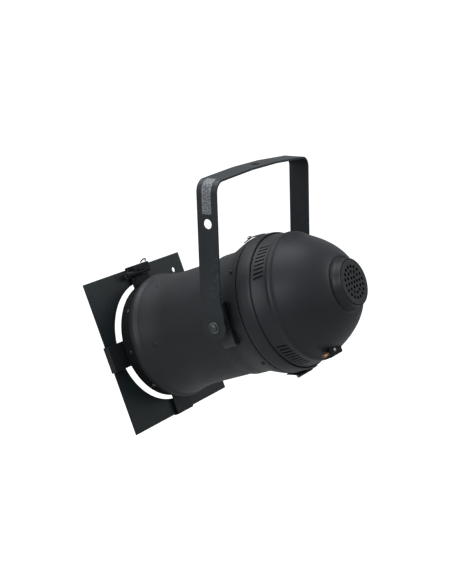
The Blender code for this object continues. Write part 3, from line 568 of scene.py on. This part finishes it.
def yoke():
    """The strap, softly edged, with its four holes."""
    top, low = strap_path()
    right = top + low
    path = [(-x, z) for x, z in right[::-1]] + right
    inner = offset(path, STRAP_WALL)
    bm = bmesh.new()
    rows = []
    for (x, z), (inner_x, inner_z) in zip(path, inner):
        width = half_width(z)
        corners = ((x, -width, z), (x, width, z), (inner_x, width, inner_z), (inner_x, -width, inner_z))
        rows.append([bm.verts.new(c) for c in corners])
    for row, following in zip(rows, rows[1:]):
        for i in range(4):
            j = (i + 1) % 4
            bm.faces.new((row[i], row[j], following[j], following[i]))
    bm.faces.new(rows[0])
    bm.faces.new(rows[-1][::-1])
    body = raw(bm, on_can=False)
    hook_hole, safety_hole, safety_rise = 6.5 * MM, 7.3 * MM, 155.6 * MM
    holes = [(Vector((0, 0, 0)), Z_AXIS, hook_hole, 8 * MM),
             (Vector((YOKE_HALF, 0, safety_rise - PIVOT_DROP)), X_AXIS, safety_hole, 10 * MM)]
    for side in (-1, 1):
        holes.append((Vector((side * (YOKE_HALF - JOGGLE), 0, -PIVOT_DROP)), X_AXIS, 4.4 * MM, 10 * MM))
    cut(body, drilled(holes), on_can=False)
    finish(named(body, "yoke_fine"), "yoke", YOKE_COAT, bevel=0.55 * MM, segments=3)


def rating_label():
    """The plain sticker, which runs up over the bend."""
    top, _ = strap_path()
    bend = [p for p in top[1:] if p[0] > YOKE_HALF - YOKE_CORNER * 1.02]
    middle = offset(bend + [(YOKE_HALF, 170 * MM - PIVOT_DROP)], -0.22 * MM)
    half = 8 * MM
    bm = strip(middle, 0.2 * MM, -half, half, lambda x, z, y: Vector((x, y, z)))
    piece("rating_label", bm, LABEL, on_can=False)


def pivots():
    """Friction discs, washers, dome-headed bolts and nuts."""
    arm = YOKE_HALF - JOGGLE
    on_can = at(0, 0, AXIS_DROP)
    for side, word in ((1, "right"), (-1, "left")):
        out = X_AXIS * side
        inside = BRACKET_PLATE - BRACKET_WALL / 2
        disc_low, disc_high = inside + BRACKET_WALL + 0.3 * MM, arm - STRAP_WALL - 0.3 * MM
        ring = [(disc_low, 4.4 * MM), (disc_low, 11 * MM), (disc_high, 11 * MM), (disc_high, 4.4 * MM)]
        piece(f"friction_disc_{word}", lathe(PIVOT, out, ring, 64), MATT, 0.25 * MM, on_can=False)
        low, high = arm + 0.3 * MM, arm + 1.5 * MM
        dish = [(low, 4.4 * MM), (low, 8.4 * MM), (low + 0.3 * MM, 8.6 * MM), (high - 0.2 * MM, 8.45 * MM),
                (high, 8.2 * MM), (high, 4.4 * MM)]
        piece(f"pivot_washer_{word}", lathe(PIVOT, out, dish, 64), WASHER_STEEL, on_can=False)
        head, end = high + 0.3 * MM, inside - 5.6 * MM
        shank = [(end, 0.0), (end, 3.6 * MM), (end + 0.5 * MM, 4 * MM), (head, 4 * MM)]
        cap = dome_head(head, 6.2 * MM, 4.0 * MM, 0.45)[1:]
        piece(f"pivot_bolt_{word}", lathe(on_can, out, shank + cap, 64, closed=False), BOLT_STEEL)
        nut = raw(rod(on_can, out, 7.5 * MM, end + 1.1 * MM, inside - 0.3 * MM, 6))
        cut(nut, drilled([(on_can + out * inside, X_AXIS, 4.3 * MM, 12 * MM)]))
        finish(named(nut, f"pivot_nut_{word}_fine"), f"pivot_nut_{word}", ZINC, bevel=0.4 * MM)


# ------------------------------------------------------------------ barrel

def rear_barrel_line(steps=22):
    neck = [(29 * MM, SLEEVE - 0.55 * MM), (28.8 * MM, SLEEVE - 0.2 * MM), (28.2 * MM, SLEEVE)]
    handles = (-10 * MM, 97 * MM), (-26 * MM, 106.5 * MM)
    return neck + bezier((6 * MM, SLEEVE), *handles, (-40.6 * MM, RIM), steps)


def front_barrel():
    """The front tube, its flare and the rolled bead at its mouth, with pressed dimples."""
    bead = smooth(scaled([(185.5, 96.9), (184.6, 98.4), (182.6, 100.4), (179.8, 101.7), (176.6, 102.1),
                          (173.4, 101.8), (170.6, 100.9), (168.6, 99.6), (167.2, 99.0)]), 4)
    handles = (156 * MM, 97.6 * MM), (142 * MM, 93.4 * MM)
    flare = bezier((167.2 * MM, 99.0 * MM), *handles, (122 * MM, TUBE), 22)[1:]
    tube = [(90 * MM, TUBE), (50 * MM, TUBE), (10 * MM, TUBE)]
    piece("front_barrel", shell(bead + flare + tube), BARREL_COAT)
    dimple = [(-0.5, 0.0), (-0.5, 5.6), (0.0, 5.5), (0.5, 5.0), (1.1, 4.0), (1.5, 2.8), (1.7, 1.4),
              (1.75, 0.0)]
    for number, (s, degrees) in enumerate(((142.7, 0.3), (143.0, 64.5), (142.7, 179.7), (143.0, 115.5)), 1):
        angle = math.radians(degrees)
        spoke = Vector((math.cos(angle), 0, math.sin(angle)))
        surface = spoke * 93.6 * MM + at(0, s * MM, 0)
        bm = lathe(surface, (spoke + at(0, -0.055, 0)).normalized(), scaled(dimple), 36, closed=False)
        # The dimples take the darker coat: painted shade for the hollow of each dimple.
        piece(None, bm, PAINTED_SHADE_COAT, name=f"pressed_dimple_{number}", body="can", sharp=80)


def rear_barrel():
    outer = rear_barrel_line()
    inner = [p for p in offset(outer, -SHEET)[::-1] if p[0] < 5 * MM]
    neck = TUBE + 0.3 * MM
    hem = [(8 * MM, SLEEVE - SHEET), (18 * MM, SLEEVE - SHEET), (19.5 * MM, neck), (29 * MM, neck)]
    piece("rear_barrel", turned(outer + inner + hem), BARREL_COAT)


def front_ring():
    """The dark lip, with a turned-over front edge, and rivets round it."""
    outer = [(172, 94.2), (172, 95.4), (203.4, 95.4), (204.6, 95.4), (205.6, 95.1), (206, 94.7),
             (205.8, 94.2), (204.8, 94.0)]
    piece("front_ring", turned(scaled(outer), ROUND), MATT)
    for number, degrees in enumerate((41, -41, 139, -139), 1):
        angle = math.radians(degrees)
        spoke = Vector((math.cos(angle), 0, math.sin(angle)))
        head = lathe(at(0, 193 * MM, 0), spoke, dome_head(95.3 * MM, 3.2 * MM, 1.5 * MM), 28, closed=False)
        piece(None, head, BOLT_STEEL, name=f"ring_stud_{number}", body="can")


def pivot_brackets():
    """Bent plates whose ends follow the flare."""
    clear = [(p[0], p[1] + 0.3 * MM) for p in rear_barrel_line(14)[3:]]
    front, rear = 60 * MM, -60 * MM
    clear = [(front, 0.0), (front, SLEEVE + 0.3 * MM)] + clear + [(rear, RIM + 2 * MM), (rear, 0.0)]
    nut_middle, nut_room = 98 * MM, 8.5 * MM
    for side, word in ((1, "right"), (-1, "left")):
        root, plate = 80 * MM, BRACKET_PLATE
        ends = [(root, BRACKET_FOOT), (plate, BRACKET_FOOT), (plate, BRACKET_TOP), (root, BRACKET_TOP)]
        path = rounded(ends, 5 * MM)
        path = [(side * x, u + AXIS_DROP) for x, u in path]
        obj = raw(strip(path, BRACKET_WALL, BRACKET_REAR, BRACKET_FRONT, lambda x, u, s: at(x, s, u)))
        low, high = BRACKET_FOOT + AXIS_DROP, BRACKET_TOP + AXIS_DROP
        corners = (root, low), (BRACKET_PAD, low), (BRACKET_PAD, high), (root, high)
        outline = [(side * x, u) for x, u in corners]
        pad = prism(outline, BRACKET_REAR + 1.5 * MM, BRACKET_FRONT - 1 * MM, lambda x, u, s: at(x, s, u))
        cut(obj, pad, operation="UNION")
        cut(obj, turned(clear, 96, closed=False))
        cut(obj, drilled([(at(side * plate, 0, AXIS_DROP), X_AXIS, 4.3 * MM, 6 * MM)]))
        cut(obj, drilled([(at(side * nut_middle, 0, AXIS_DROP), X_AXIS, nut_room, 6.8 * MM)]))
        named(obj, f"pivot_bracket_{word}_fine")
        # The lighter coat is painted light on the brackets' edges.
        finish(obj, f"pivot_bracket_{word}", BRACKET_COAT_PAINTED_LIGHT, bevel=0.35 * MM)


def barrel_screws():
    """Dome heads with a cross recess, in the flare."""
    slope, up = math.radians(16.3), math.radians(42.5)
    for number, angle in enumerate((up, -up, math.pi - up, math.pi + up), 1):
        spoke = Vector((math.cos(angle), 0, math.sin(angle)))
        axis = spoke * math.cos(slope) + at(0, math.sin(slope), 0)
        foot = spoke * 105.6 * MM + at(0, -29.4 * MM, 0)
        obj = raw(lathe(foot, axis, dome_head(0.35 * MM, 3 * MM, 1.75 * MM), 36, closed=False))
        cut(obj, cross_recess(foot + axis * 2.3 * MM, axis, 1.5 * MM, 0.42 * MM, 1.0 * MM))
        finish(named(obj, f"barrel_screw_{number}_fine"), f"barrel_screw_{number}", SCREW_COAT)


def cross_recess(centre, axis, arm, half, depth):
    turn = Z_AXIS.rotation_difference(axis).to_matrix()
    outline = [(half, half), (half, arm), (-half, arm), (-half, half), (-arm, half), (-arm, -half),
               (-half, -half), (-half, -arm), (half, -arm), (half, -half), (arm, -half), (arm, half)]
    return prism(outline, -depth, depth, lambda a, b, c: centre + turn @ Vector((a, b, c)))


# ------------------------------------------------------------------ gel frame, clips and latch

def gel_frame():
    """Two thin leaves joined along the lower fold, with the round window."""
    half, rear, wall, slot = 125 * MM, 214 * MM, 0.9 * MM, 0.8 * MM
    front = rear + 2 * wall + slot
    inside = 2 * wall - half
    fold = [(rear + wall, half), (rear + wall, inside), (front - wall, inside), (front - wall, half)]
    foot = rounded([(front, half), (front, -half), (rear, -half), (rear, half)], 1.0 * MM, 4)
    obj = raw(prism(foot + fold, -half, half, lambda s, u, x: at(x, s, u)))
    corner = half - 26 * MM
    cut(obj, rod(at(0, rear, 0), Y_AXIS, 100 * MM, -10 * MM, 10 * MM, 180))
    cut(obj, rod(at(-corner, rear, corner), Y_AXIS, 4.5 * MM, -10 * MM, 10 * MM, 40))
    finish(named(obj, "gel_frame_fine"), "gel_frame", FRAME_COAT, bevel=0.22 * MM)


def frame_clip(name, out, reach):
    across = Y_AXIS.cross(out)
    bends = scaled([(90.8, 188), (90.8, 208.9), (reach, 208.9), (reach, 218.2), (118, 218.2)])
    path = rounded(bends, 1.4 * MM, 6)
    obj = raw(strip(path, 1.2 * MM, -21 * MM, 21 * MM, lambda o, s, t: out * o + across * t + at(0, s, 0)))
    # The clip takes the darker coat as painted shade.
    finish(named(obj, f"{name}_fine"), name, PAINTED_SHADE_COAT, bevel=0.3 * MM)
    ring_rivet(name.replace("clip", "rivet"), out)


def ring_rivet(name, out, tab=90.8 * MM):
    inside = tab - 0.9 * MM
    shank = [(inside - 1.2 * MM, 0.0), (inside - 1.2 * MM, 3.2 * MM), (inside - 1.0 * MM, 3.4 * MM),
             (inside, 3.4 * MM), (inside, 1.9 * MM), (95.6 * MM, 1.9 * MM)]
    head = dome_head(95.6 * MM, 3.6 * MM, 2.0 * MM)[1:]
    piece(name, lathe(at(0, 194.5 * MM, 0), out, shank + head, 32, closed=False), SCREW_COAT)


def ears_of(pin, ears, bore, outer):
    rings = []
    for sign, low, high in ears:
        outline = [(low, bore), (low, outer), (high, outer), (high, bore)]
        rings.append(lathe(pin, X_AXIS * sign, outline, 40))
    return rings


def hinged(leaf, pin, ears, bore, outer):
    """Joins knuckles to a leaf and bores them."""
    for ear in ears_of(pin, ears, bore, outer):
        cut(leaf, ear, operation="UNION")
    cut(leaf, rod(pin, X_AXIS, bore, -40 * MM, 40 * MM, 40))


def latch():
    pin_s, pin_u = LATCH_PIN
    pin = at(0, pin_s, pin_u)
    path = scaled([(89.6, 188), (89.6, 208.9), (108.5, 208.9)]) + [(pin_u - 1 * MM, pin_s + 2.6 * MM)]
    bracket = raw(strip(rounded(path, 1.4 * MM, 5), 1.2 * MM, -26 * MM, 20 * MM, lambda u, s, x: at(x, s, u)))
    cut(bracket, merged([rod(pin, X_AXIS * sign, 6 * MM, 8.3 * MM, 30 * MM) for sign in (-1, 1)]))
    hinged(bracket, pin, ((1, -8 * MM, 8 * MM),), 1.9 * MM, 3.6 * MM)
    finish(named(bracket, "latch_bracket_fine"), "latch_bracket", LATCH_BLACK, bevel=0.25 * MM)
    ring_rivet("top_rivet", Z_AXIS, 89.6 * MM)
    line = [(-28, 0), (-28, 2.5), (-27.6, 2.9), (-27.1, 2.9), (-26.8, 2.6), (-26.8, 1.6), (35.4, 1.6),
            (36, 1.1), (36, 0)]
    piece("latch_pin", lathe(pin, X_AXIS, scaled(line), 32, closed=False), DARK_STEEL)

    path = [(-3.0, 0.5), (-3.0, 12.8), (14.6, 12.8), (14.6, 9.8)]
    path = [(pin_s + s * MM, pin_u + u * MM) for s, u in path]
    gate = raw(strip(rounded(path, 1.6 * MM, 5), 1.2 * MM, -26 * MM, 14.5 * MM, lambda s, u, x: at(x, s, u)))
    half = 8.6 * MM
    window = prism([(-half, -6 * MM), (half, -6 * MM), (half, 6.2 * MM), (-half, 6.2 * MM)], -8 * MM, 5 * MM,
                   lambda x, u, s: pin + at(x, s, u))
    cut(gate, window)
    hinged(gate, pin, ((-1, half, 26 * MM), (1, half, 14.5 * MM)), 1.9 * MM, 3.6 * MM)
    finish(named(gate, "latch_gate_fine"), "latch_gate", LATCH_BLACK, bevel=0.25 * MM)
    knots = [(-13, 1, 14.1), (-13, 0.8, 15.2), (-15, -1.5, 17.2), (-19.5, -2.5, 18.2), (-24, -1.5, 17.2),
             (-25, 0.8, 15.2), (-25, 1, 14.1)]
    loop = smooth([pin + at(x * MM, s * MM, u * MM) for x, s, u in knots], 6)
    wire("latch_pull", loop, 1.1 * MM, LATCH_BLACK)


def latch_spring():
    pin = at(0, *LATCH_PIN)
    turns, coil, start, per_turn = 8, 4.6 * MM, 16.2 * MM, 24
    pitch = 2.1 * MM / per_turn
    points = [pin + at(start - 1.5 * MM, 2.6 * MM, -13 * MM), pin + at(start - 0.5 * MM, -3.9 * MM, -5 * MM)]
    count = turns * per_turn
    for i in range(count + 1):
        angle = math.pi - 2 * math.pi * i / per_turn
        points.append(pin + at(start + i * pitch, coil * math.cos(angle), coil * math.sin(angle)))
    end = start + count * pitch
    tail = (end, 7 * MM), (end - 3 * MM, 9.5 * MM), (9 * MM, 9.5 * MM)
    points += [pin + at(x, -coil - 0.2 * MM, u) for x, u in tail]
    wire("latch_spring", points, 0.6 * MM, DARK_STEEL, sides=3)


# ------------------------------------------------------------------ lamp

def lamp():
    """The sealed-beam lamp: crowned front glass, aluminised bowl, burner and prongs."""
    front = bezier((-9 * MM, 0.0), (-9.5 * MM, 42 * MM), (-16 * MM, 84 * MM), (-24.5 * MM, 98 * MM), 24)
    back = [(s - 3.0 * MM, r) for s, r in front[:-1]]
    edge = scaled([(-25, 100.2), (-25.6, 101), (-27.6, 101), (-27.6, 97)])
    piece("lamp_lens", turned(front + edge + back[::-1], 96, closed=False), LENS)
    bowl = bezier((-31 * MM, 98.5 * MM), (-58 * MM, 92 * MM), (-94 * MM, 70 * MM), (-108 * MM, 27 * MM), 24)
    outer = scaled([(-27.9, 101), (-30.2, 101), (-30.6, 100.4)]) + bowl
    outer += scaled([(-125, 25), (-126.6, 24), (-127, 22), (-127, 0)])
    inner = [(-27.9 * MM, 96.5 * MM)] + [(s + 1.5 * MM, r - 2.6 * MM) for s, r in bowl[:-1]]
    inner += scaled([(-108, 22), (-123, 21), (-124, 0)])
    bowl_piece = raw(turned(outer[::-1] + inner, 96, closed=False))
    feet = [at(x * MM, -126 * MM, 0) for x in (-8, 8)]
    cut(bowl_piece, drilled([(foot, Y_AXIS, 2.9 * MM, 6 * MM) for foot in feet], 24))
    finish(named(bowl_piece, "lamp_reflector_fine"), "lamp_reflector", MIRROR)
    # The bowl's outside gets the dull dark painted shade.
    paint_outside(bowl_piece, BOWL_BACK_PAINTED_SHADE)
    for word, foot in zip(("left", "right"), feet):
        tip = [(-40, 0), (-40, 2.0), (-39.4, 2.5), (13.4, 2.5), (14, 2.0), (14, 0)]
        piece(f"lamp_prong_{word}", lathe(foot, Y_AXIS, scaled(tip), 24, closed=False), COPPER)
    burner = bezier((-66 * MM, 0.0), (-66 * MM, 6.5 * MM), (-70 * MM, 6 * MM), (-76 * MM, 6 * MM), 8)
    burner += bezier((-80 * MM, 6 * MM), (-84 * MM, 6 * MM), (-85.5 * MM, 4 * MM), (-85.5 * MM, 0.0), 8)
    piece("lamp_burner", turned(burner, 40, closed=False), BULB)
    radius, step = 3.2 * MM, 0.7
    coil = [at(radius * math.cos(i * step), (-70 - i * 0.09) * MM, radius * math.sin(i * step))
            for i in range(120)]
    wire(None, coil, 0.25 * MM, SPRING_STEEL, 1, name="filament", body="lamp")


def paint_outside(obj, paint):
    """Gives a turned piece's outer faces a material of their own."""
    obj.data.materials.append(paint)
    back = CAN_FRAME.inverted()
    for face in obj.data.polygons:
        spoke, normal = back @ face.center, back.to_3x3() @ face.normal
        spoke.y = 0
        if spoke.dot(normal) > 0 or normal.y > 0.9:
            face.material_index = 1


def paint_inside_shade(obj):
    """Gives the inner faces of a piece of the cap a near-black painted shade, for the dark inside of the cap.
    """
    obj.data.materials.append(INSIDE_PAINTED_SHADE)
    back = CAN_FRAME.inverted()
    for face in obj.data.polygons:
        spoke, normal = back @ face.center, back.to_3x3() @ face.normal
        if Vector((spoke.x, 0.4 * (spoke.y + 0.05), spoke.z)).dot(normal) < 0:
            face.material_index = 1


def lamp_holder():
    low, high = -151 * MM, -127.6 * MM
    half_x, half_u = 19 * MM, 12 * MM
    outline = rounded([(0, -half_u), (half_x, -half_u), (half_x, half_u), (-half_x, half_u),
                       (-half_x, -half_u), (0, -half_u)], 4 * MM, 6)[:-1]
    obj = raw(prism(outline, low, high, lambda x, u, s: at(x, s, u)))
    cut(obj, drilled([(at(x * MM, high, 0), Y_AXIS, 2.9 * MM, 15 * MM) for x in (-8, 8)], 24))
    finish(named(obj, "lamp_holder_fine"), "lamp_holder", CERAMIC, bevel=0.8 * MM)


def lamp_ring():
    reach, place, gap, steps = 102 * MM, -33.5 * MM, math.radians(6), 120
    angles = [math.pi / 2 + gap + (2 * math.pi - 2 * gap) * i / steps for i in range(steps + 1)]
    loop = [at(reach * math.cos(a), place, reach * math.sin(a)) for a in angles]
    ends = angles[0] - 0.04, angles[-1] + 0.04
    tails = [at(99 * MM * math.cos(a), -38.5 * MM, 99 * MM * math.sin(a)) for a in ends]
    wire("lamp_spring_ring", [tails[0], *loop, tails[1]], 2.0 * MM, ZINC, 4)


def lamp_lead():
    """The sleeved leads, in a slack loop from the connector to the cap; an open cap stretches them."""
    knots = [(0, -151.4, 0), (0, -156, -1), (-3, -163, -9), (-9, -164, -22), (-16, -156, -36),
             (-20, -144, -44), (-16, -132, -42), (-4, -124, -42), (7, -118, -52), (12, -114, -68),
             (12, -112.6, -80), (12, -112.5, -86.5)]
    line = smooth([at(x * MM, s * MM, u * MM) for x, s, u in knots], 6)
    obj = wire("lamp_lead", line, 3.0 * MM, SLEEVING, 5, body="blended")
    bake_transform(obj)


# ------------------------------------------------------------------ rear cap

def dome_line():
    band = scaled([(-38.4, 103.4), (-64.8, 103.4), (-66.2, 103.3), (-67.6, 102.9), (-69, 102.3),
                   (-87.5, 98.9)])
    bead = scaled([(-88.6, 98.9), (-90, 99.3), (-92.2, 99.7), (-94.6, 99.3), (-97, 97.9), (-98.6, 96.3)])
    handles = (-118 * MM, 86 * MM), (-147 * MM, 72 * MM)
    dome = bezier((-99.5 * MM, 95.6 * MM), *handles, (-161.4 * MM, 46.2 * MM), 26)
    boss = scaled([(-162.1, 44.3), (-162.0, 42.4), (-161.6, 40.6), (-162.0, 39.0), (-163.6, 37.8),
                   (-167, 36.9), (-172, 36.3), (-175.2, 35.8), (-176, 35.1)])
    return band + smooth(bead, 3) + dome + smooth(boss, 4)


def cap_dome():
    obj = raw(shell(dome_line()))
    cutters = [rod(at(12 * MM, -112.5 * MM, 0), Z_AXIS, 4 * MM, -96 * MM, -70 * MM, 32)]
    middle, step = math.radians(47.5), math.radians(4)
    slot = ((-85.5, -0.9), (-85.1, -1.3), (-70.4, -1.3), (-70, -0.9), (-70, 0.9), (-70.4, 1.3),
            (-85.1, 1.3), (-85.5, 0.9))
    slot_middle, slot_lean = -77.75, 0.2
    for group in (middle, -middle, math.pi - middle, math.pi + middle):
        lean = math.copysign(slot_lean, math.sin(2 * group))
        outline = [(s * MM, (t + lean * (s - slot_middle)) * MM) for s, t in slot]
        for number in range(9):
            angle = group + step * (number - 4)
            spoke = Vector((math.cos(angle), 0, math.sin(angle)))
            across = Y_AXIS.cross(spoke)

            def place(s, t, r, spoke=spoke, across=across):
                return at(0, s, 0) + across * t + spoke * r

            cutters.append(prism(outline, 92 * MM, 110 * MM, place))
    cut(obj, merged(cutters))
    paint_inside_shade(finish(named(obj, "cap_dome_fine"), "cap_dome", CAP_COAT))


def cap_band():
    outer = smooth(scaled([(-41.3, 105.9), (-41.6, 106.9), (-42.5, 107.7), (-45, 108.1)]), 4)
    outer += smooth(scaled([(-52, 107.6), (-58, 107.1), (-62.6, 106.5), (-64.6, 105.8), (-65.4, 104.9)]), 4)
    piece("cap_band", shell(outer), CAP_COAT)


def vent_grille():
    s, inner = -176 * MM, -174.8 * MM
    obj = raw(turned([(s, 0), (s, 33.9 * MM), (inner, 33.9 * MM), (inner, 0)], ROUND, closed=False))
    hole = 2.5 * MM
    holes = [(at(0, s, 0), Y_AXIS, hole, 3 * MM)]
    for ring, count in ((1, 6), (2, 12), (3, 18)):
        holes += [(at(x, s, u), Y_AXIS, hole, 3 * MM) for x, u in ring_points(ring * 7.8 * MM, count)]
    cut(obj, drilled(holes, 24))
    obj = finish(named(obj, "vent_grille_fine"), "vent_grille", GRILLE_COAT)
    # The grille's back and hole walls get the near-black painted shade.
    obj.data.materials.append(INSIDE_PAINTED_SHADE)
    outward = CAN_FRAME.to_3x3() @ Y_AXIS
    for face in obj.data.polygons:
        if face.normal.dot(outward) < 0.9:
            face.material_index = 1


def cap_hinge():
    pin = at(0, *CAP_PIN)
    leaves = (
        ("hinge_leaf_barrel", [(-22, -104.8), (-38.6, -109.2), (-40.2, -110.2)],
         ((-1, 7 * MM, 20 * MM), (1, 7 * MM, 20 * MM)), ((0, 6.7 * MM),)),
        ("hinge_leaf_cap", [(-54, -109.4), (-44.6, -110.0), (-42.6, -110.4)],
         ((1, -6.4 * MM, 6.4 * MM),), ((-14 * MM, 7.3 * MM), (14 * MM, 7.3 * MM))),
    )
    for name, path, ears, notches in leaves:
        leaf = raw(strip(scaled(path), 1.2 * MM, -20 * MM, 20 * MM, lambda s, u, x: at(x, s, u)))
        cut(leaf, merged([rod(pin + X_AXIS * x, X_AXIS, 3.4 * MM, -half, half) for x, half in notches]))
        hinged(leaf, pin, ears, 1.7 * MM, 2.9 * MM)
        # The leaves take the darker coat as painted shade.
        finish(named(leaf, f"{name}_fine"), name, PAINTED_SHADE_COAT, bevel=0.2 * MM)
    line = [(-21.5, 0), (-21.5, 1.1), (-21.2, 1.4), (21.2, 1.4), (21.5, 1.1), (21.5, 0)]
    piece("hinge_pin", lathe(pin, X_AXIS, scaled(line), 28, closed=False), ZINC)


def cap_catch():
    middle, half = 12, 6
    side = [(half, -60, 107.9), (half, -51, 109.0), (half, -38, 109.5), (half * 0.6, -33.5, 109.3)]
    loop = [(-x, s, u) for x, s, u in side] + side[::-1]
    line = smooth([at((middle + x) * MM, s * MM, u * MM) for x, s, u in loop], 8)
    wire("cap_catch", line, 0.8 * MM, SPRING_STEEL, 5)
    path = rounded(scaled([(-23, 104.9), (-36.8, 108.7), (-36.8, 111.5), (-33.0, 111.7)]), 1.0 * MM, 5)
    hook = strip(path, 1.0 * MM, (middle - 2.5) * MM, (middle + 2.5) * MM, lambda s, u, x: at(x, s, u))
    piece("catch_hook", hook, SPRING_STEEL, 0.2 * MM)


def lead_entry():
    """The clamp box under the cap, its screw, and the bush."""
    low_x, high_x, floor, back = 1 * MM, 34 * MM, -94 * MM, -118.5 * MM
    path = rounded([(-107 * MM, floor), (back, floor), (back, -74 * MM)], 1.6 * MM, 6)
    clamp = raw(strip(path, 1.4 * MM, low_x, high_x, lambda s, u, x: at(x, s, u)))
    dome = [(s, r + 0.3 * MM) for s, r in dome_line()]
    cut(clamp, turned([(dome[0][0], 0.0)] + dome + [(dome[-1][0], 0.0)], 96, closed=False))
    finish(named(clamp, "lead_clamp_fine"), "lead_clamp", CLAMP_BLACK, bevel=0.3 * MM)
    screw = at(22 * MM, back - 0.7 * MM, -85.6 * MM)
    obj = raw(lathe(screw, Y_AXIS, dome_head(0.3 * MM, 2.8 * MM, 2.1 * MM), 36, closed=False))
    cut(obj, cross_recess(screw + Y_AXIS * 2.4 * MM, Y_AXIS, 1.5 * MM, 0.4 * MM, 1.1 * MM))
    finish(named(obj, "clamp_screw_fine"), "clamp_screw", ZINC)
    tube = [(31, 1.2), (31, 2.3), (31.3, 2.5), (42, 2.5), (46.3, 2.3), (47, 2.0), (47, 1.2)]
    piece("cord_bush", lathe(at(0, -114.6 * MM, -87.8 * MM), X_AXIS, scaled(tube), 32), COPPER)


def earth_terminal():
    slope = math.radians(28)
    inward = at(0, math.sin(slope), math.cos(slope))
    foot = at(-14 * MM, -112 * MM, -86.5 * MM)
    obj = raw(lathe(foot, inward, dome_head(0.8 * MM, 3.4 * MM, 2.6 * MM), 36, closed=False))
    cut(obj, cross_recess(foot + inward * 3.4 * MM, inward, 1.8 * MM, 0.5 * MM, 1.2 * MM))
    finish(named(obj, "earth_screw_fine"), "earth_screw", COPPER)


def build():
    yoke()
    rating_label()
    pivots()
    front_barrel()
    rear_barrel()
    front_ring()
    pivot_brackets()
    barrel_screws()
    gel_frame()
    frame_clip("left_clip", -X_AXIS, 127.1)
    frame_clip("right_clip", X_AXIS, 127.1)
    frame_clip("bottom_clip", -Z_AXIS, 125.9)
    latch()
    latch_spring()
    lamp()
    lamp_holder()
    lamp_ring()
    lamp_lead()
    cap_dome()
    cap_band()
    vent_grille()
    cap_hinge()
    cap_catch()
    lead_entry()
    earth_terminal()


# ------------------------------------------------------------------ floor, light and camera

def stage():
    """A pale floor under the light, the studio's world and broad soft lamps."""
    bm = bmesh.new()
    size = 14.0
    floor_z = -0.95
    places = (-size, -size), (size, -size), (size, size), (-size, size)
    corners = [bm.verts.new((x, y, floor_z)) for x, y in places]
    bm.faces.new(corners)
    mesh = bpy.data.meshes.new("floor")
    bm.to_mesh(mesh)
    bm.free()
    floor = bpy.data.objects.new("floor", mesh)
    bpy.context.collection.objects.link(floor)
    paint = Paint("floor_white", (0.5, 0.5, 0.5), 0.9)
    paint.shader.inputs["Emission Color"].default_value = (1, 1, 1, 1)
    glow = paint.spread(paint.add("ShaderNodeLightPath").outputs["Is Camera Ray"], 0, 1, 0.0, 0.92)
    paint.link(glow, paint.shader.inputs["Emission Strength"])
    paint.shader.inputs["Specular IOR Level"].default_value = 0.1
    mesh.materials.append(paint.material)

    world = bpy.data.worlds.new("studio")
    world.use_nodes = True
    tree = world.node_tree
    backdrop = tree.nodes["Background"]
    backdrop.inputs["Color"].default_value = (0.93, 0.97, 1.0, 1)
    facing = tree.nodes.new("ShaderNodeVectorMath")
    facing.operation = "DOT_PRODUCT"
    facing.inputs[1].default_value = BRIGHT_SIDE.normalized()
    tree.links.new(tree.nodes.new("ShaderNodeTexCoord").outputs["Generated"], facing.inputs[0])
    walls = tree.nodes.new("ShaderNodeMapRange")
    walls.inputs["From Min"].default_value = -1.0
    walls.inputs["To Min"].default_value, walls.inputs["To Max"].default_value = DARK_WALL, BRIGHT_WALL
    tree.links.new(facing.outputs["Value"], walls.inputs["Value"])
    strength = tree.nodes.new("ShaderNodeMapRange")
    strength.inputs["To Max"].default_value = 1.2
    tree.links.new(tree.nodes.new("ShaderNodeLightPath").outputs["Is Camera Ray"], strength.inputs["Value"])
    tree.links.new(walls.outputs["Result"], strength.inputs["To Min"])
    tree.links.new(strength.outputs["Result"], backdrop.inputs["Strength"])
    bpy.context.scene.world = world
    bpy.context.scene.view_settings.view_transform = "Standard"

    for name, place, size, power in (("key", (0.0, -0.7, 1.4), 1.4, 17), ("fill", (2.2, -0.3, 0.9), 1.4, 22),
                                     ("edge", (-0.9, 1.6, 1.1), 1.1, 9)):
        light = bpy.data.lights.new(name, "AREA")
        light.shape = "SQUARE"
        light.size = size
        light.energy = power
        light.color = (0.93, 0.97, 1.0)
        obj = bpy.data.objects.new(name, light)
        bpy.context.collection.objects.link(obj)
        obj.location = place
        obj.rotation_euler = (Vector(place) - ORIGIN).to_track_quat("Z", "Y").to_euler()


def camera():
    back = Vector((0.7980, 0.5428, 0.2618)).normalized()
    right = Vector((-0.5624, 0.8269, 0.0))
    right = (right - back * right.dot(back)).normalized()
    up = back.cross(right)
    roll = math.radians(-1.91)
    x = right * math.cos(roll) + up * math.sin(roll)
    y = up * math.cos(roll) - right * math.sin(roll)
    turn = Matrix((x, y, back)).transposed().to_4x4()
    lens = bpy.data.cameras.new("camera")
    lens.lens = 71.62
    lens.sensor_width = 36.0
    lens.clip_start = 0.05
    lens.clip_end = 60.0
    obj = bpy.data.objects.new("camera", lens)
    bpy.context.collection.objects.link(obj)
    obj.matrix_world = Matrix.Translation((1.45109, 0.92690, 0.27083)) @ turn
    bpy.context.scene.camera = obj


build()
stage()
camera()
bpy.context.view_layer.update()
